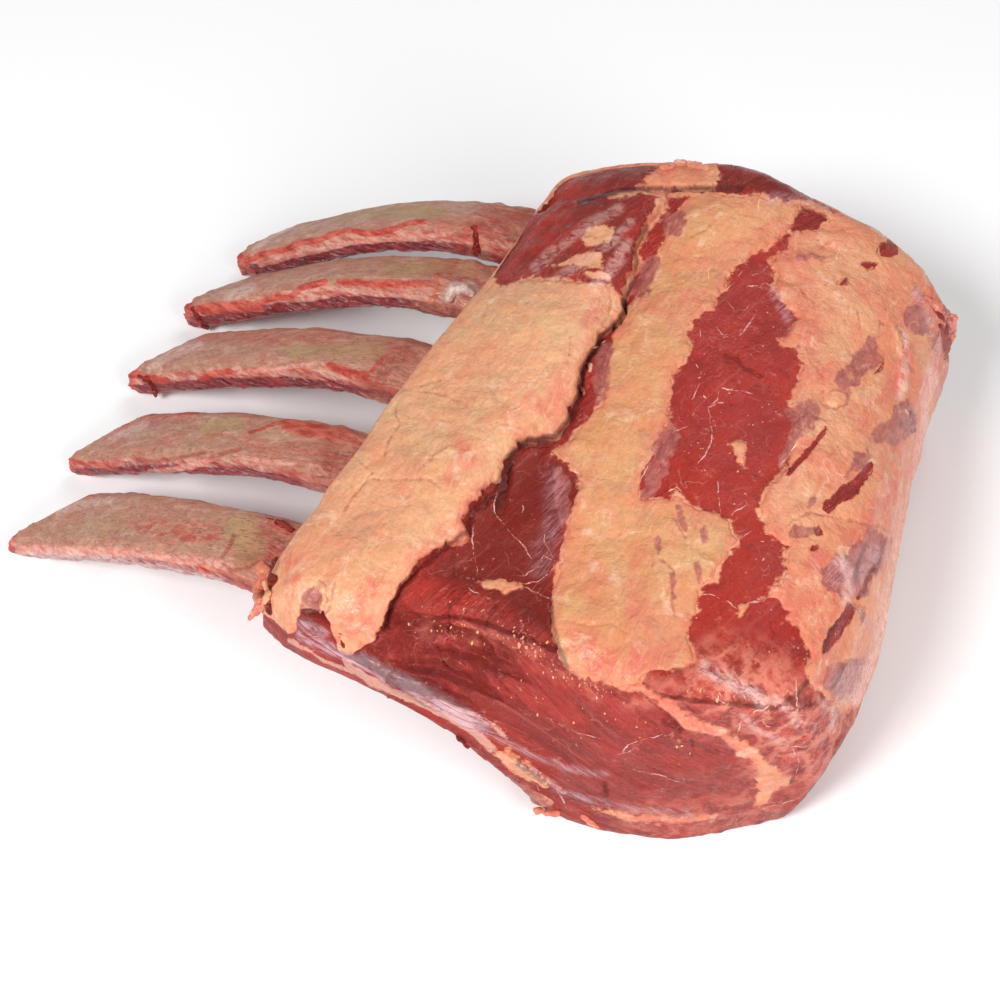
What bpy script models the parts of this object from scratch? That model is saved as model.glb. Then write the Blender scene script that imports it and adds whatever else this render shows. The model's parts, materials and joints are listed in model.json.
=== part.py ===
"""Bone-in beef rib roast with five long, frenched ribs: a tomahawk rack before it is cut into steaks.

The roast lies on a block, fat side up. Its ribs make an arch: the meat's back edge and the sawn
rib tips touch the block, and the hollow between them stands clear of it.

Units are metres; the tables below are in millimetres. +X runs along the ribs, from their sawn
tips to the back, +Y from the near cut to the far cut, +Z up. The origin is the middle of the
bounding box, on the block.
"""

import math

import bmesh
import bpy
import numpy as np
from mathutils import Vector, noise

MM = 0.001
GAP = 0.3  # mm of air between two pieces that touch
CENTRE = (-3.2, 5.0)  # the middle of the bounding box, in the tables' own X and Y

# ---------------------------------------------------------------- the roast's outer form, in mm

CROWN = 6.0  # how much higher the roast is half way along
END_ROUND = 8.0  # radius of the edge round each cut face
LUMP_HEIGHT = 2.2  # unevenness of the hand-trimmed top
LUMP_SIZE = 46.0
FACE_BULGE = 5.0  # the cut faces swell between their edges
HOLLOW_RISE = 8.0  # between the cuts, the underside draws up and the ribs stand out of it

# Places across are a share, 0 at the trimmed edge that the ribs leave and 1 at the back.
# Places along are a share, 0 at the near cut and 1 at the far cut.
TRIMMED_EDGE_X = ((0.0, -47), (0.35, -38.5), (0.7, -30), (1.0, -29))
BACK_EDGE_X = ((0.0, 196), (0.07, 200.5), (0.15, 201), (0.26, 200), (0.38, 196), (0.5, 191),
               (0.67, 184), (0.85, 180), (1.0, 179))
TOP_NEAR = ((0.0, 100), (0.10, 104), (0.29, 111), (0.49, 120), (0.68, 125), (0.85, 121),
            (0.95, 104), (0.985, 80), (1.0, 42))
TOP_FAR = ((0.0, 101), (0.10, 109), (0.24, 118), (0.40, 122), (0.60, 117), (0.80, 106),
           (0.93, 88), (0.98, 70), (1.0, 42))
UNDER = ((0.0, 66), (0.10, 70), (0.22, 69), (0.33, 61), (0.40, 51), (0.47, 33), (0.54, 11),
         (0.60, 0), (0.70, 0), (0.93, 0), (0.975, 11), (1.0, 42))
NEAR_TOP_Y = ((0.0, -142), (0.10, -148), (0.22, -142), (0.33, -129), (0.49, -130), (0.68, -137),
              (0.85, -125), (0.95, -111), (1.0, -97))
NEAR_UNDER_Y = ((0.0, -146), (0.07, -153), (0.20, -155), (0.34, -154), (0.46, -151), (0.56, -146),
                (0.66, -141), (0.79, -131), (0.87, -118), (0.94, -105), (1.0, -97))
FAR_Y = ((0.0, 134), (0.06, 142.5), (0.14, 148), (0.24, 153), (0.40, 160), (0.60, 158), (0.82, 155),
         (0.93, 150), (1.0, 144))

# The flap: the cap muscle and its fat, loose along its inner edge and standing over a crevice.
FLAP_EDGE = ((0.0, 0.255), (0.28, 0.285), (0.46, 0.325), (0.62, 0.300), (1.0, 0.262))
FLAP_RISE = 6.0
FLAP_LIP = 14.0  # how far from its edge the flap rounds over
CREVICE_DEPTH = 5.0
CREVICE_WIDTH = 22.0
FLAP_THICKNESS = 9.0
FLAP_SHALLOW = 0.8  # at the far cut this share of the lip and the crevice is gone
UNDER_LUMP_HEIGHT = 1.5
UNDER_LUMP_SIZE = 38.0
UNDER_ROUND = 0.3  # the edge under a cut face rounds over by this share of the one above it

# Mesh of the outer form.
FLAP_COLUMNS = 8
OTHER_COLUMNS = 15
EDGE_STEP = 0.012  # share between the flap's lip and the bottom of the crevice
END_STEPS = (0.0035, 0.009, 0.0165)  # shares along, closer together where a cut's edge rounds over
MIDDLE_ROWS = 22
CAP_ROWS = 5
MERGE = 0.00001  # metres


def through(points, value):
    """A smooth curve through a few (place, value) points."""
    xs = np.array([p[0] for p in points], float)
    ys = np.array([p[1] for p in points], float)
    slopes = np.gradient(ys, xs)
    value = np.clip(np.asarray(value, float), xs[0], xs[-1])
    index = np.clip(np.searchsorted(xs, value, side="right") - 1, 0, len(xs) - 2)
    width = xs[index + 1] - xs[index]
    share = (value - xs[index]) / width
    rise = share * share * (3 - 2 * share)
    leave = share * (1 - share) ** 2
    arrive = share * share * (share - 1)
    return (ys[index] * (1 - rise) + ys[index + 1] * rise
            + width * (leave * slopes[index] + arrive * slopes[index + 1]))


def ease(start, end, value):
    """0 before start, 1 past end, and an easy curve between them."""
    share = np.clip((np.asarray(value, float) - start) / (end - start), 0.0, 1.0)
    return share * share * (3.0 - 2.0 * share)


def lumps(x, y, size, seed):
    """Smooth unevenness between about -1 and 1."""
    flat = [noise.noise(Vector((a / size, b / size, seed))) for a, b in zip(np.ravel(x), np.ravel(y))]
    return np.reshape(flat, np.shape(x)) * 1.6


# ---------------------------------------------------------------- the roast as a lofted box

def plan_place(across, along, near_y):
    """X and Y of a point at its shares across and along."""
    left = through(TRIMMED_EDGE_X, along)
    right = through(BACK_EDGE_X, along)
    near = through(near_y, across)
    return left + across * (right - left), near + along * (through(FAR_Y, across) - near)


def cut_drop(y, near, far, radius):
    """How far the edge round a cut face falls at y, for a quarter round of this radius."""
    inside = np.clip(np.minimum(y - near, far - y) / radius, 0.0, 1.0)
    return radius * (1.0 - np.sqrt(1.0 - (1.0 - inside) ** 2))


def top_height(across, along, x, y):
    """Height of the top, with the flap standing over its crevice."""
    height = through(TOP_NEAR, across) * (1 - along) + through(TOP_FAR, across) * along
    height = height + CROWN * np.sin(math.pi * along) * (1 - ease(0.9, 1.0, across))
    height = height + LUMP_HEIGHT * lumps(x, y, LUMP_SIZE, 3.0) * (1 - ease(0.94, 1.0, across))
    width = through(BACK_EDGE_X, along) - through(TRIMMED_EDGE_X, along)
    past = (across - through(FLAP_EDGE, along)) * width
    lip = FLAP_RISE * np.sqrt(np.clip(-past / FLAP_LIP, 0.0, 1.0))
    crevice = CREVICE_DEPTH * (1 - ease(0.0, CREVICE_WIDTH, past)) * (past > 0)
    shallow = 1 - FLAP_SHALLOW * ease(0.86, 1.0, along)
    return height + (lip * ease(0.0, 0.3, across + 0.12) - crevice) * shallow


def under_height(across, along, x, y):
    """Height of the underside: the hollow of the arch, and the flat that stands on the block."""
    height = through(UNDER, across)
    inside = ease(0.0, 0.06, along) * ease(1.0, 0.94, along)
    height = height + HOLLOW_RISE * inside * ease(20, 60, height)
    uneven = UNDER_LUMP_HEIGHT * lumps(x, y, UNDER_LUMP_SIZE, 9.0) * ease(2, 20, height)
    return np.where(height > 1.0, height + uneven, 0.0)


def spread(count, end_steps):
    """Shares from 0 to 1 with the given small steps at both ends and even steps between."""
    start = list(np.cumsum([0.0] + list(end_steps)))
    middle = list(np.linspace(start[-1], 1 - start[-1], count + 1))[1:-1]
    return np.array(start + middle + [1 - s for s in reversed(start)])


def roast_mesh(name, drop=0.0, reach=0.0):
    """The roast's outer form. With drop, its top and back sink by that much; with reach, its cuts,
    trimmed edge and underside move out by that much, so that it can cut a layer free."""
    finish = 1 if reach == 0 else 2
    along = spread(MIDDLE_ROWS // finish, END_STEPS[::finish])
    split = through(FLAP_EDGE, along)[:, None]
    flap_columns = np.linspace(0, 1, FLAP_COLUMNS // finish + 1)[None, :]
    other_columns = (np.linspace(0, 1, OTHER_COLUMNS + 1) ** 0.85)[None, :]
    start = split + EDGE_STEP
    across = np.concatenate([split * flap_columns, start + (1 - start) * other_columns], axis=1)
    along = np.repeat(along[:, None], across.shape[1], axis=1)
    outwards = np.where(along < 0.5, -reach, reach) * (np.minimum(along, 1 - along) < 0.001)

    x, y = plan_place(across, along, NEAR_TOP_Y)
    z = top_height(across, along, x, y) - drop
    if reach == 0:
        z = z - cut_drop(y, through(NEAR_TOP_Y, across), through(FAR_Y, across), END_ROUND)
    inset = drop * ease(0.5, 1.0, across)
    top = np.stack([x - inset, y + outwards, z], axis=-1)

    x, y = plan_place(across, along, NEAR_UNDER_Y)
    z = under_height(across, along, x, y) - reach
    if reach == 0:
        lift = cut_drop(y, through(NEAR_UNDER_Y, across), through(FAR_Y, across), END_ROUND)
        z = z + UNDER_ROUND * lift * ease(5, 30, z)
    under = np.stack([x - inset, y + outwards, z], axis=-1)
    top[:, 0, 0] -= reach
    under[:, 0, 0] -= reach
    back = (top[:, -1] + under[:, -1]) / 2
    top[:, -1] = under[:, -1] = back

    mesh = bmesh.new()
    add_sheet(mesh, top)
    add_sheet(mesh, under)
    levels = np.linspace(0, 1, CAP_ROWS + 1)[:, None]
    for row in (0, -1):
        face = top[row][None] * (1 - levels[..., None]) + under[row][None] * levels[..., None]
        side = -1 if row == 0 else 1
        swell = FACE_BULGE * np.sin(math.pi * levels) * np.sin(math.pi * across[row])[None, :]
        face[..., 1] += side * swell
        add_sheet(mesh, face)
    side = top[:, 0][None] * (1 - levels[..., None]) + under[:, 0][None] * levels[..., None]
    add_sheet(mesh, side)
    bmesh.ops.remove_doubles(mesh, verts=mesh.verts, dist=MERGE)
    bmesh.ops.dissolve_degenerate(mesh, edges=mesh.edges, dist=MERGE)
    return finish_mesh(mesh, name)


def add_sheet(mesh, points):
    """A grid of triangles through a 2-D array of points in mm."""
    verts = [[mesh.verts.new(Vector(point) * MM) for point in row] for row in points]
    for a, b in zip(verts, verts[1:]):
        join_rows(mesh, a, b)


def join_rows(mesh, a, b):
    """Triangles between two rows of verts, all with their diagonals the same way, so that a copy
    of the shape moved outwards by a little stays outside it."""
    for i in range(len(a) - 1):
        mesh.faces.new((a[i], a[i + 1], b[i + 1]))
        mesh.faces.new((a[i], b[i + 1], b[i]))


def finish_mesh(mesh, name):
    """Makes an object of a bmesh, centred, with its faces pointing out."""
    bmesh.ops.translate(mesh, verts=mesh.verts, vec=(-CENTRE[0] * MM, -CENTRE[1] * MM, 0))
    bmesh.ops.triangulate(mesh, faces=[f for f in mesh.faces if len(f.verts) > 3])
    bmesh.ops.recalc_face_normals(mesh, faces=mesh.faces)
    data = bpy.data.meshes.new(name)
    mesh.to_mesh(data)
    mesh.free()
    obj = bpy.data.objects.new(name, data)
    bpy.context.collection.objects.link(obj)
    return obj


# ---------------------------------------------------------------- layers of fat, in mm

BAND_THICKNESS = 8.0
BACK_THICKNESS = 8.0
BACK_FAT_FOOT = 24.0  # the fat of the back ends this high above the block
BAND_FOOT = 60.0  # the cutters for the band and the flap only reach down this far
FLAP_FOOT = -60.0
CUTTER_TOP = 220.0
CUTTER_REACH = 30.0  # how far a cutter stands out past the roast
PAST = 200.0  # a place across or along that lies outside the roast

# The band of fat between the flap and the lean, seen from above, from its far end round.
BAND_OUTLINE = ((46, 126), (66, 136), (88, 138), (90, 116), (80, 98), (75, 77), (77, 58), (72, 42),
                (78, 27), (77, 9), (82, -8), (83, -36), (88, -47), (103, -46), (132, -57), (131, -80),
                (127, -100), (136, -117), (132, -160), (90, -160), (80, -122), (70, -98), (63, -71),
                (59, -50), (47, -40), (48, -24), (46, -2), (46, 22), (47, 46), (42, 82), (39, 110))
# The fat over the back, which ends on the lean in a ragged line.
BACK_OUTLINE = ((94, 142), (93, 122), (94, 99), (101, 81), (113, 72), (112, 56), (122, 52), (126, 27),
                (134, 9), (136, -12), (151, -34), (169, -45), (187, -53), (240, -60), (240, 190),
                (98, 190))

# Seam of fat between two muscles: share across, depth under the top and thickness.
SEAM_DEPTH = ((0.62, 14), (0.70, 15), (0.76, 17), (0.82, 21), (0.87, 27), (0.90, 33), (0.92, 40))
SEAM_THICKNESS = ((0.62, 3), (0.66, 5), (0.80, 5), (0.88, 9), (0.91, 6), (0.92, 3))
SEAM_ROWS = 12
SEAM_OVERSHOOT = 25.0  # the seam runs out past both cuts before it is trimmed to them


def region_prism(name, outline, grow, foot):
    """An upright block over an outline, its sides moved out by grow, to cut a layer's edge."""
    points = np.array(outline, float)
    before = points - np.roll(points, 1, axis=0)
    after = np.roll(points, -1, axis=0) - points
    area = np.sum(points[:, 0] * np.roll(points[:, 1], -1) - points[:, 1] * np.roll(points[:, 0], -1))
    turn = 1.0 if area > 0 else -1.0
    normals = [np.array([d[:, 1], -d[:, 0]]).T / np.linalg.norm(d, axis=1)[:, None] * turn
               for d in (before, after)]
    mitre = normals[0] + normals[1]
    mitre *= (2.0 / np.sum(mitre * mitre, axis=1))[:, None]
    points = points + mitre * grow
    mesh = bmesh.new()
    ring = [mesh.verts.new((x * MM, y * MM, foot * MM)) for x, y in points]
    base = mesh.faces.new(ring)
    raised = bmesh.ops.extrude_face_region(mesh, geom=[base])["geom"]
    lift = [item for item in raised if isinstance(item, bmesh.types.BMVert)]
    bmesh.ops.translate(mesh, verts=lift, vec=(0, 0, (CUTTER_TOP - foot) * MM))
    return finish_mesh(mesh, name)


def flap_outline():
    """The flap from above: from beyond the trimmed edge to its loose inner edge."""
    along = np.linspace(0.0, 1.0, 13)
    split = through(FLAP_EDGE, along) + EDGE_STEP / 3
    x, y = plan_place(split, along, NEAR_TOP_Y)
    edge = list(zip(x, y))
    return [(x[0], -PAST)] + edge + [(x[-1], PAST), (-PAST, PAST), (-PAST, -PAST)]


def seam_slab(grow):
    """The seam as a thin curved slab that runs through the roast from cut to cut."""
    share = np.array([p[0] for p in SEAM_DEPTH])
    across = np.repeat(share[None, :], SEAM_ROWS, axis=0)
    along = np.repeat(np.linspace(0, 1, SEAM_ROWS)[:, None], len(share), axis=1)
    x, y = plan_place(across, along, NEAR_TOP_Y)
    z = top_height(across, along, x, y) - through(SEAM_DEPTH, across)
    y = y + (along - 0.5) * 2 * SEAM_OVERSHOOT
    run_x, run_z = np.gradient(x, axis=1), np.gradient(z, axis=1)
    length = np.hypot(run_x, run_z)
    run_x, run_z = run_x / length, run_z / length
    ends = (across == share[-1]) * grow - (across == share[0]) * grow
    half = through(SEAM_THICKNESS, across) / 2 + grow
    upper = np.stack([x + ends * run_x - half * run_z, y, z + ends * run_z + half * run_x], axis=-1)
    lower = np.stack([x + ends * run_x + half * run_z, y, z + ends * run_z - half * run_x], axis=-1)
    mesh = bmesh.new()
    add_sheet(mesh, upper)
    add_sheet(mesh, lower)
    for row in (0, -1):
        add_sheet(mesh, np.stack([upper[row], lower[row]]))
        add_sheet(mesh, np.stack([upper[:, row], lower[:, row]]))
    bmesh.ops.remove_doubles(mesh, verts=mesh.verts, dist=MERGE)
    return finish_mesh(mesh, "seam_slab")


# ---------------------------------------------------------------- ribs, in mm

RIB_ARCH = ((-206, 8), (-185, 20), (-160, 35), (-126, 53), (-90, 68), (-55, 78), (-20, 80),
            (9, 76), (39, 63), (60, 46), (78, 26), (88, 14))
RIB_RINGS = 19
RIB_SIDES = 12
RIB_SQUARE = 3.6  # 2 would be an ellipse, and more is squarer
RIB_LEAVES = -60.0  # where the ribs come out of the meat
RIB_UNEVEN = 0.05  # how much their width varies
SLANT_FROM = -110.0  # the saw's slant comes in between here and the tip
# Place across the roast at the tip, where the meat begins and under it, width at the tip and at
# the meat, thickness, how far the sawn tip slants, how far the rib is turned on its length, and
# its reach.
RIBS = {
    "rib_1": dict(y=(-108, -117, -128), width=(38, 37), thick=14.5, slant=36, turn=-3, tip_x=-206.3),
    "rib_2": dict(y=(-53, -58, -64), width=(39, 35), thick=15, slant=30, turn=-8, tip_x=-206),
    "rib_3": dict(y=(6, 1, -4), width=(41, 36), thick=18, slant=31, turn=-12, tip_x=-205),
    "rib_4": dict(y=(56, 60, 60), width=(42, 36), thick=18, slant=26, turn=-19, tip_x=-202),
    "rib_5": dict(y=(102, 102, 108), width=(42, 37), thick=17.5, slant=24, turn=-17, tip_x=-195),
}


def rib_mesh(name, rib, seed, grow=0.0):
    """A rib as rings of points along its arch, sawn off at its tip."""
    first = RIB_ARCH[0][0]
    xs = np.linspace(0, 1, RIB_RINGS) * (RIB_ARCH[-1][0] - first) + first
    tip, base, under = rib["y"]
    ys = through(((first, tip), (-130, (tip + base) / 2), (-50, base), (88, under)), xs)
    zs = through(RIB_ARCH, xs)
    to_tip = ease(RIB_LEAVES, first, xs)
    width = rib["width"][1] * (1 - to_tip) + rib["width"][0] * to_tip
    width = width * (1 + RIB_UNEVEN * lumps(xs, ys * 0 + 40 * seed, 45.0, seed))
    turn = math.radians(rib["turn"]) * ease(20, RIB_LEAVES, xs)
    xs = xs + (rib["tip_x"] - first) * to_tip
    slope = np.gradient(zs, xs)
    angle = np.linspace(0, 2 * math.pi, RIB_SIDES, endpoint=False)
    ring_y = np.sign(np.cos(angle)) * np.abs(np.cos(angle)) ** (2 / RIB_SQUARE)
    ring_z = np.sign(np.sin(angle)) * np.abs(np.sin(angle)) ** (2 / RIB_SQUARE)
    rings = []
    for i in range(RIB_RINGS):
        length = math.hypot(1.0, slope[i])
        side = ring_y * (width[i] / 2 + grow)
        lift = ring_z * (rib["thick"] / 2 + grow)
        y_local = side * math.cos(turn[i]) - lift * math.sin(turn[i])
        z_local = side * math.sin(turn[i]) + lift * math.cos(turn[i])
        end = {0: -grow, RIB_RINGS - 1: grow}.get(i, 0.0)
        shear = rib["slant"] * float(ease(SLANT_FROM, first, xs[i])) * (y_local / width[i] + 0.5)
        x = xs[i] + end - z_local * slope[i] / length + shear
        z = zs[i] + z_local / length + shear * slope[i]
        rings.append(np.stack([x, ys[i] + y_local, z], axis=-1))
    rings = np.array(rings)
    rings[..., 2] -= rings[:RIB_RINGS // 3, :, 2].min() * to_tip[:, None]
    mesh = bmesh.new()
    rings = [[mesh.verts.new(Vector(point) * MM) for point in ring] for ring in rings]
    for a, b in zip(rings, rings[1:]):
        join_rows(mesh, a + a[:1], b + b[:1])
    mesh.faces.new(rings[0])
    mesh.faces.new(rings[-1])
    return finish_mesh(mesh, name)


# ---------------------------------------------------------------- materials

COLOURS = {
    "lean_meat": ((0.36, 0.028, 0.026), 0.42),
    "cap_fat": ((0.62, 0.40, 0.21), 0.5),
    "soft_fat": ((0.60, 0.34, 0.19), 0.5),
    "bone": ((0.47, 0.27, 0.16), 0.55),
}


def material(name):
    colour, roughness = COLOURS[name]
    made = bpy.data.materials.get(name) or bpy.data.materials.new(name)
    made.use_nodes = True
    shader = made.node_tree.nodes["Principled BSDF"]
    shader.inputs["Base Color"].default_value = (*colour, 1.0)
    shader.inputs["Roughness"].default_value = roughness
    shader.inputs["Metallic"].default_value = 0.0
    made.diffuse_color = (*colour, 1.0)
    return made


# ---------------------------------------------------------------- layers let in, seam and ribs added

def boolean(obj, other, operation):
    modifier = obj.modifiers.new(operation.lower(), "BOOLEAN")
    modifier.operation = operation
    modifier.solver = "EXACT"
    modifier.object = other


def helper(obj):
    """Keeps a cutter out of the finished part."""
    obj.hide_render = True
    obj.display_type = "WIRE"
    return obj


def fat_layer(name, outline, thickness, foot, colour, meat):
    """One layer of fat with its own thickness, let into the meat with air all round it."""
    layer = roast_mesh(name)
    boolean(layer, helper(region_prism(name + "_edge", outline, -GAP / 2, foot + GAP / 2)), "INTERSECT")
    core = helper(roast_mesh(name + "_core", thickness - GAP / 2, reach=CUTTER_REACH))
    boolean(layer, core, "DIFFERENCE")
    pocket = helper(region_prism(name + "_pocket", outline, GAP / 2, foot - GAP / 2))
    floor = helper(roast_mesh(name + "_floor", thickness + GAP / 2, reach=CUTTER_REACH))
    boolean(pocket, floor, "DIFFERENCE")
    boolean(meat, pocket, "DIFFERENCE")
    layer.data.materials.append(material(colour))
    return layer


def build():
    for obj in list(bpy.data.objects):
        bpy.data.objects.remove(obj, do_unlink=True)
    meat = roast_mesh("meat")
    meat.data.materials.append(material("lean_meat"))
    pieces = [
        meat,
        fat_layer("cap_flap", flap_outline(), FLAP_THICKNESS, FLAP_FOOT, "cap_fat", meat),
        fat_layer("fat_band", BAND_OUTLINE, BAND_THICKNESS, BAND_FOOT, "cap_fat", meat),
        fat_layer("back_fat", BACK_OUTLINE, BACK_THICKNESS, BACK_FAT_FOOT, "soft_fat", meat),
    ]
    seam = seam_slab(0.0)
    seam.name = "seam_fat"
    boolean(seam, helper(roast_mesh("seam_bounds")), "INTERSECT")
    seam.data.materials.append(material("soft_fat"))
    boolean(meat, helper(seam_slab(GAP)), "DIFFERENCE")
    pieces.append(seam)
    for seed, (name, rib) in enumerate(RIBS.items(), start=1):
        bone = rib_mesh(name, rib, seed)
        bone.data.materials.append(material("bone"))
        boolean(meat, helper(rib_mesh(name + "_channel", rib, seed, GAP)), "DIFFERENCE")
        pieces.append(bone)
    for piece in pieces:
        piece.data.shade_smooth()
        piece.data.set_sharp_from_angle(angle=math.radians(35))


build()
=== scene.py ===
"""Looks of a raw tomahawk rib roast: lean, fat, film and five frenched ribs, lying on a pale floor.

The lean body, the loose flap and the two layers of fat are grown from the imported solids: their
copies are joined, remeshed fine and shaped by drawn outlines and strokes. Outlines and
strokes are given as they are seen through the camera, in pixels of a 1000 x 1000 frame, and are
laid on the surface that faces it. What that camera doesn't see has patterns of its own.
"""
import json
import math
from itertools import product

import bpy
import numpy as np
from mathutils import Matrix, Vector
from mathutils.bvhtree import BVHTree

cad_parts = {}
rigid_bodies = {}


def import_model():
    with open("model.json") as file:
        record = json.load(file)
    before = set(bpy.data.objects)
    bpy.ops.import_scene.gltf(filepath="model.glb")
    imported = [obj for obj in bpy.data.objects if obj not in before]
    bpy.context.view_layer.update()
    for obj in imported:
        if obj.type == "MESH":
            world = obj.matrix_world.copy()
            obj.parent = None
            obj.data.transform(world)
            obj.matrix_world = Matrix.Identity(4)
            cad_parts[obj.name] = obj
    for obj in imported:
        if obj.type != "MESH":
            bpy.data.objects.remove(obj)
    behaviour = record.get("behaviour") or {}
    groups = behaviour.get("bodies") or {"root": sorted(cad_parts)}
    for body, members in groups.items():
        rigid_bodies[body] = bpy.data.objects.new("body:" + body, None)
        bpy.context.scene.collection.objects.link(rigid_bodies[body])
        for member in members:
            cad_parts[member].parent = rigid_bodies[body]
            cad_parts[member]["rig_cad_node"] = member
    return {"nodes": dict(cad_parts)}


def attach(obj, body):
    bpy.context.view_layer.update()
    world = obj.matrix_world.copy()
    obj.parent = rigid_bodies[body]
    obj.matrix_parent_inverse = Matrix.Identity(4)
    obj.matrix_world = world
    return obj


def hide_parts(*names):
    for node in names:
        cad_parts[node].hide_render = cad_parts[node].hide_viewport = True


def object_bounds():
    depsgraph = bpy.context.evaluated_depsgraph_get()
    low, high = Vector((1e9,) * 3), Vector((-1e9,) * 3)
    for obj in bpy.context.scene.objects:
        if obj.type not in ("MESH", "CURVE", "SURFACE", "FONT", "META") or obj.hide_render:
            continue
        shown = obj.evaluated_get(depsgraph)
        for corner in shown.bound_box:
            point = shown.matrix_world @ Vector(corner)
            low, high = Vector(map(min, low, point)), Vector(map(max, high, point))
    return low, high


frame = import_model()
cad_box = [list(corner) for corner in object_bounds()]
LOW = np.array(cad_box[0])
HIGH = np.array(cad_box[1])
MM = 0.001

# ---------------------------------------------------------------- camera

TURN = math.radians(25.0)
HEIGHT = math.radians(54.0)
FOCAL = 1900.0  # pixels
MIDDLE = 500.0  # pixels, of a square frame twice as wide
DISTANCE = 0.85  # metres
AIM = np.array([0.0242, -0.053, 0.08])
SENSOR = 36.0  # mm
BACK = np.array([math.sin(TURN) * math.cos(HEIGHT), -math.cos(TURN) * math.cos(HEIGHT),
                 math.sin(HEIGHT)])
RIGHT = np.array([math.cos(TURN), math.sin(TURN), 0.0])
UP = np.cross(BACK, RIGHT)
EYE = AIM + DISTANCE * BACK
PIXELS_PER_MM = FOCAL / DISTANCE / 1000.0


def make_camera():
    data = bpy.data.cameras.new("camera")
    data.sensor_width = SENSOR
    data.lens = SENSOR * FOCAL / (2 * MIDDLE)
    camera = new_object("camera", data)
    camera.location = EYE
    camera.rotation_euler = Vector(-BACK).to_track_quat("-Z", "Y").to_euler()
    bpy.context.scene.camera = camera


def seen_at(points):
    """Where points fall in the frame, in pixels."""
    away = points - EYE
    depth = -away @ BACK
    return np.stack([MIDDLE + FOCAL * (away @ RIGHT) / depth,
                     MIDDLE - FOCAL * (away @ UP) / depth], axis=1)


def ray_through(u, v):
    """Unit vector from the camera through a pixel."""
    way = (u - MIDDLE) / FOCAL * RIGHT - (v - MIDDLE) / FOCAL * UP - BACK
    return Vector(way / np.linalg.norm(way))


# ---------------------------------------------------------------- shapes of number fields

HASH_STEPS = (73856093, 19349663, 83492791, 26544357)  # one for each number of a cell
HASH_MIX = 1274126177
HASH_BITS = 0xFFFFFF
SHORTEST = 1e-9  # keeps a line of no length from dividing by zero


def ease(start, end, value):
    """0 at start, 1 at end, and an easy curve between them."""
    share = np.clip((np.asarray(value, float) - start) / (end - start), 0.0, 1.0)
    return share * share * (3.0 - 2.0 * share)


def scrambled(*cell):
    """A fixed number between -1 and 1 for each cell, given by its three places and a seed."""
    n = 0
    for value, step in zip(cell, HASH_STEPS):
        n = n ^ (value * step)
    n = (n ^ (n >> 13)) * HASH_MIX
    return ((n ^ (n >> 15)) & HASH_BITS) / float(HASH_BITS >> 1) - 1.0


def waviness(points, size, seed=0):
    """Smooth unevenness between -1 and 1, in lumps of about this size. Size may be three numbers."""
    place = np.asarray(points, float) / np.asarray(size, float)
    cell = np.floor(place).astype(np.int64)
    part = place - cell
    part = part * part * (3.0 - 2.0 * part)
    total = 0.0
    for corner in product((0, 1), repeat=3):
        weight = np.prod(np.where(corner, part, 1 - part), axis=1)
        total = total + weight * scrambled(*(cell + corner).T, seed)
    return total


def lumps(points, *kinds):
    """Unevenness from several kinds of lumps: the height, size in mm and seed of each."""
    return sum(height * waviness(points, np.multiply(size, MM), seed) for height, size, seed in kinds)


def mixed(share, value, other):
    """A value where share is 1, and the other where it is 0."""
    return value * share + other * (1 - share)


def from_line(at, points, closed=False):
    """Distance of places in the frame from a line of pixels."""
    line = np.array(points, float)
    ends = np.roll(line, -1, axis=0) if closed else line[1:]
    starts = line if closed else line[:-1]
    best = np.full(len(at), np.inf)
    for start, end in zip(starts, ends):
        run = end - start
        share = np.clip((at - start) @ run / max(run @ run, SHORTEST), 0.0, 1.0)
        best = np.minimum(best, np.linalg.norm(at - start - share[:, None] * run, axis=1))
    return best


def inside_by(at, points):
    """How far places in the frame lie inside an outline, in mm; negative outside."""
    line = np.array(points, float)
    inside = np.zeros(len(at), bool)
    for (ax, ay), (bx, by) in zip(line, np.roll(line, -1, axis=0)):
        if ay == by:
            continue
        crosses = (at[:, 1] < ay) != (at[:, 1] < by)
        inside ^= crosses & (at[:, 0] < ax + (at[:, 1] - ay) * (bx - ax) / (by - ay))
    return np.where(inside, 1.0, -1.0) * from_line(at, points, closed=True) / PIXELS_PER_MM


def inside_any(at, outlines):
    return np.max([inside_by(at, outline) for outline in outlines], axis=0)


# ---------------------------------------------------------------- outlines, in pixels

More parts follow.
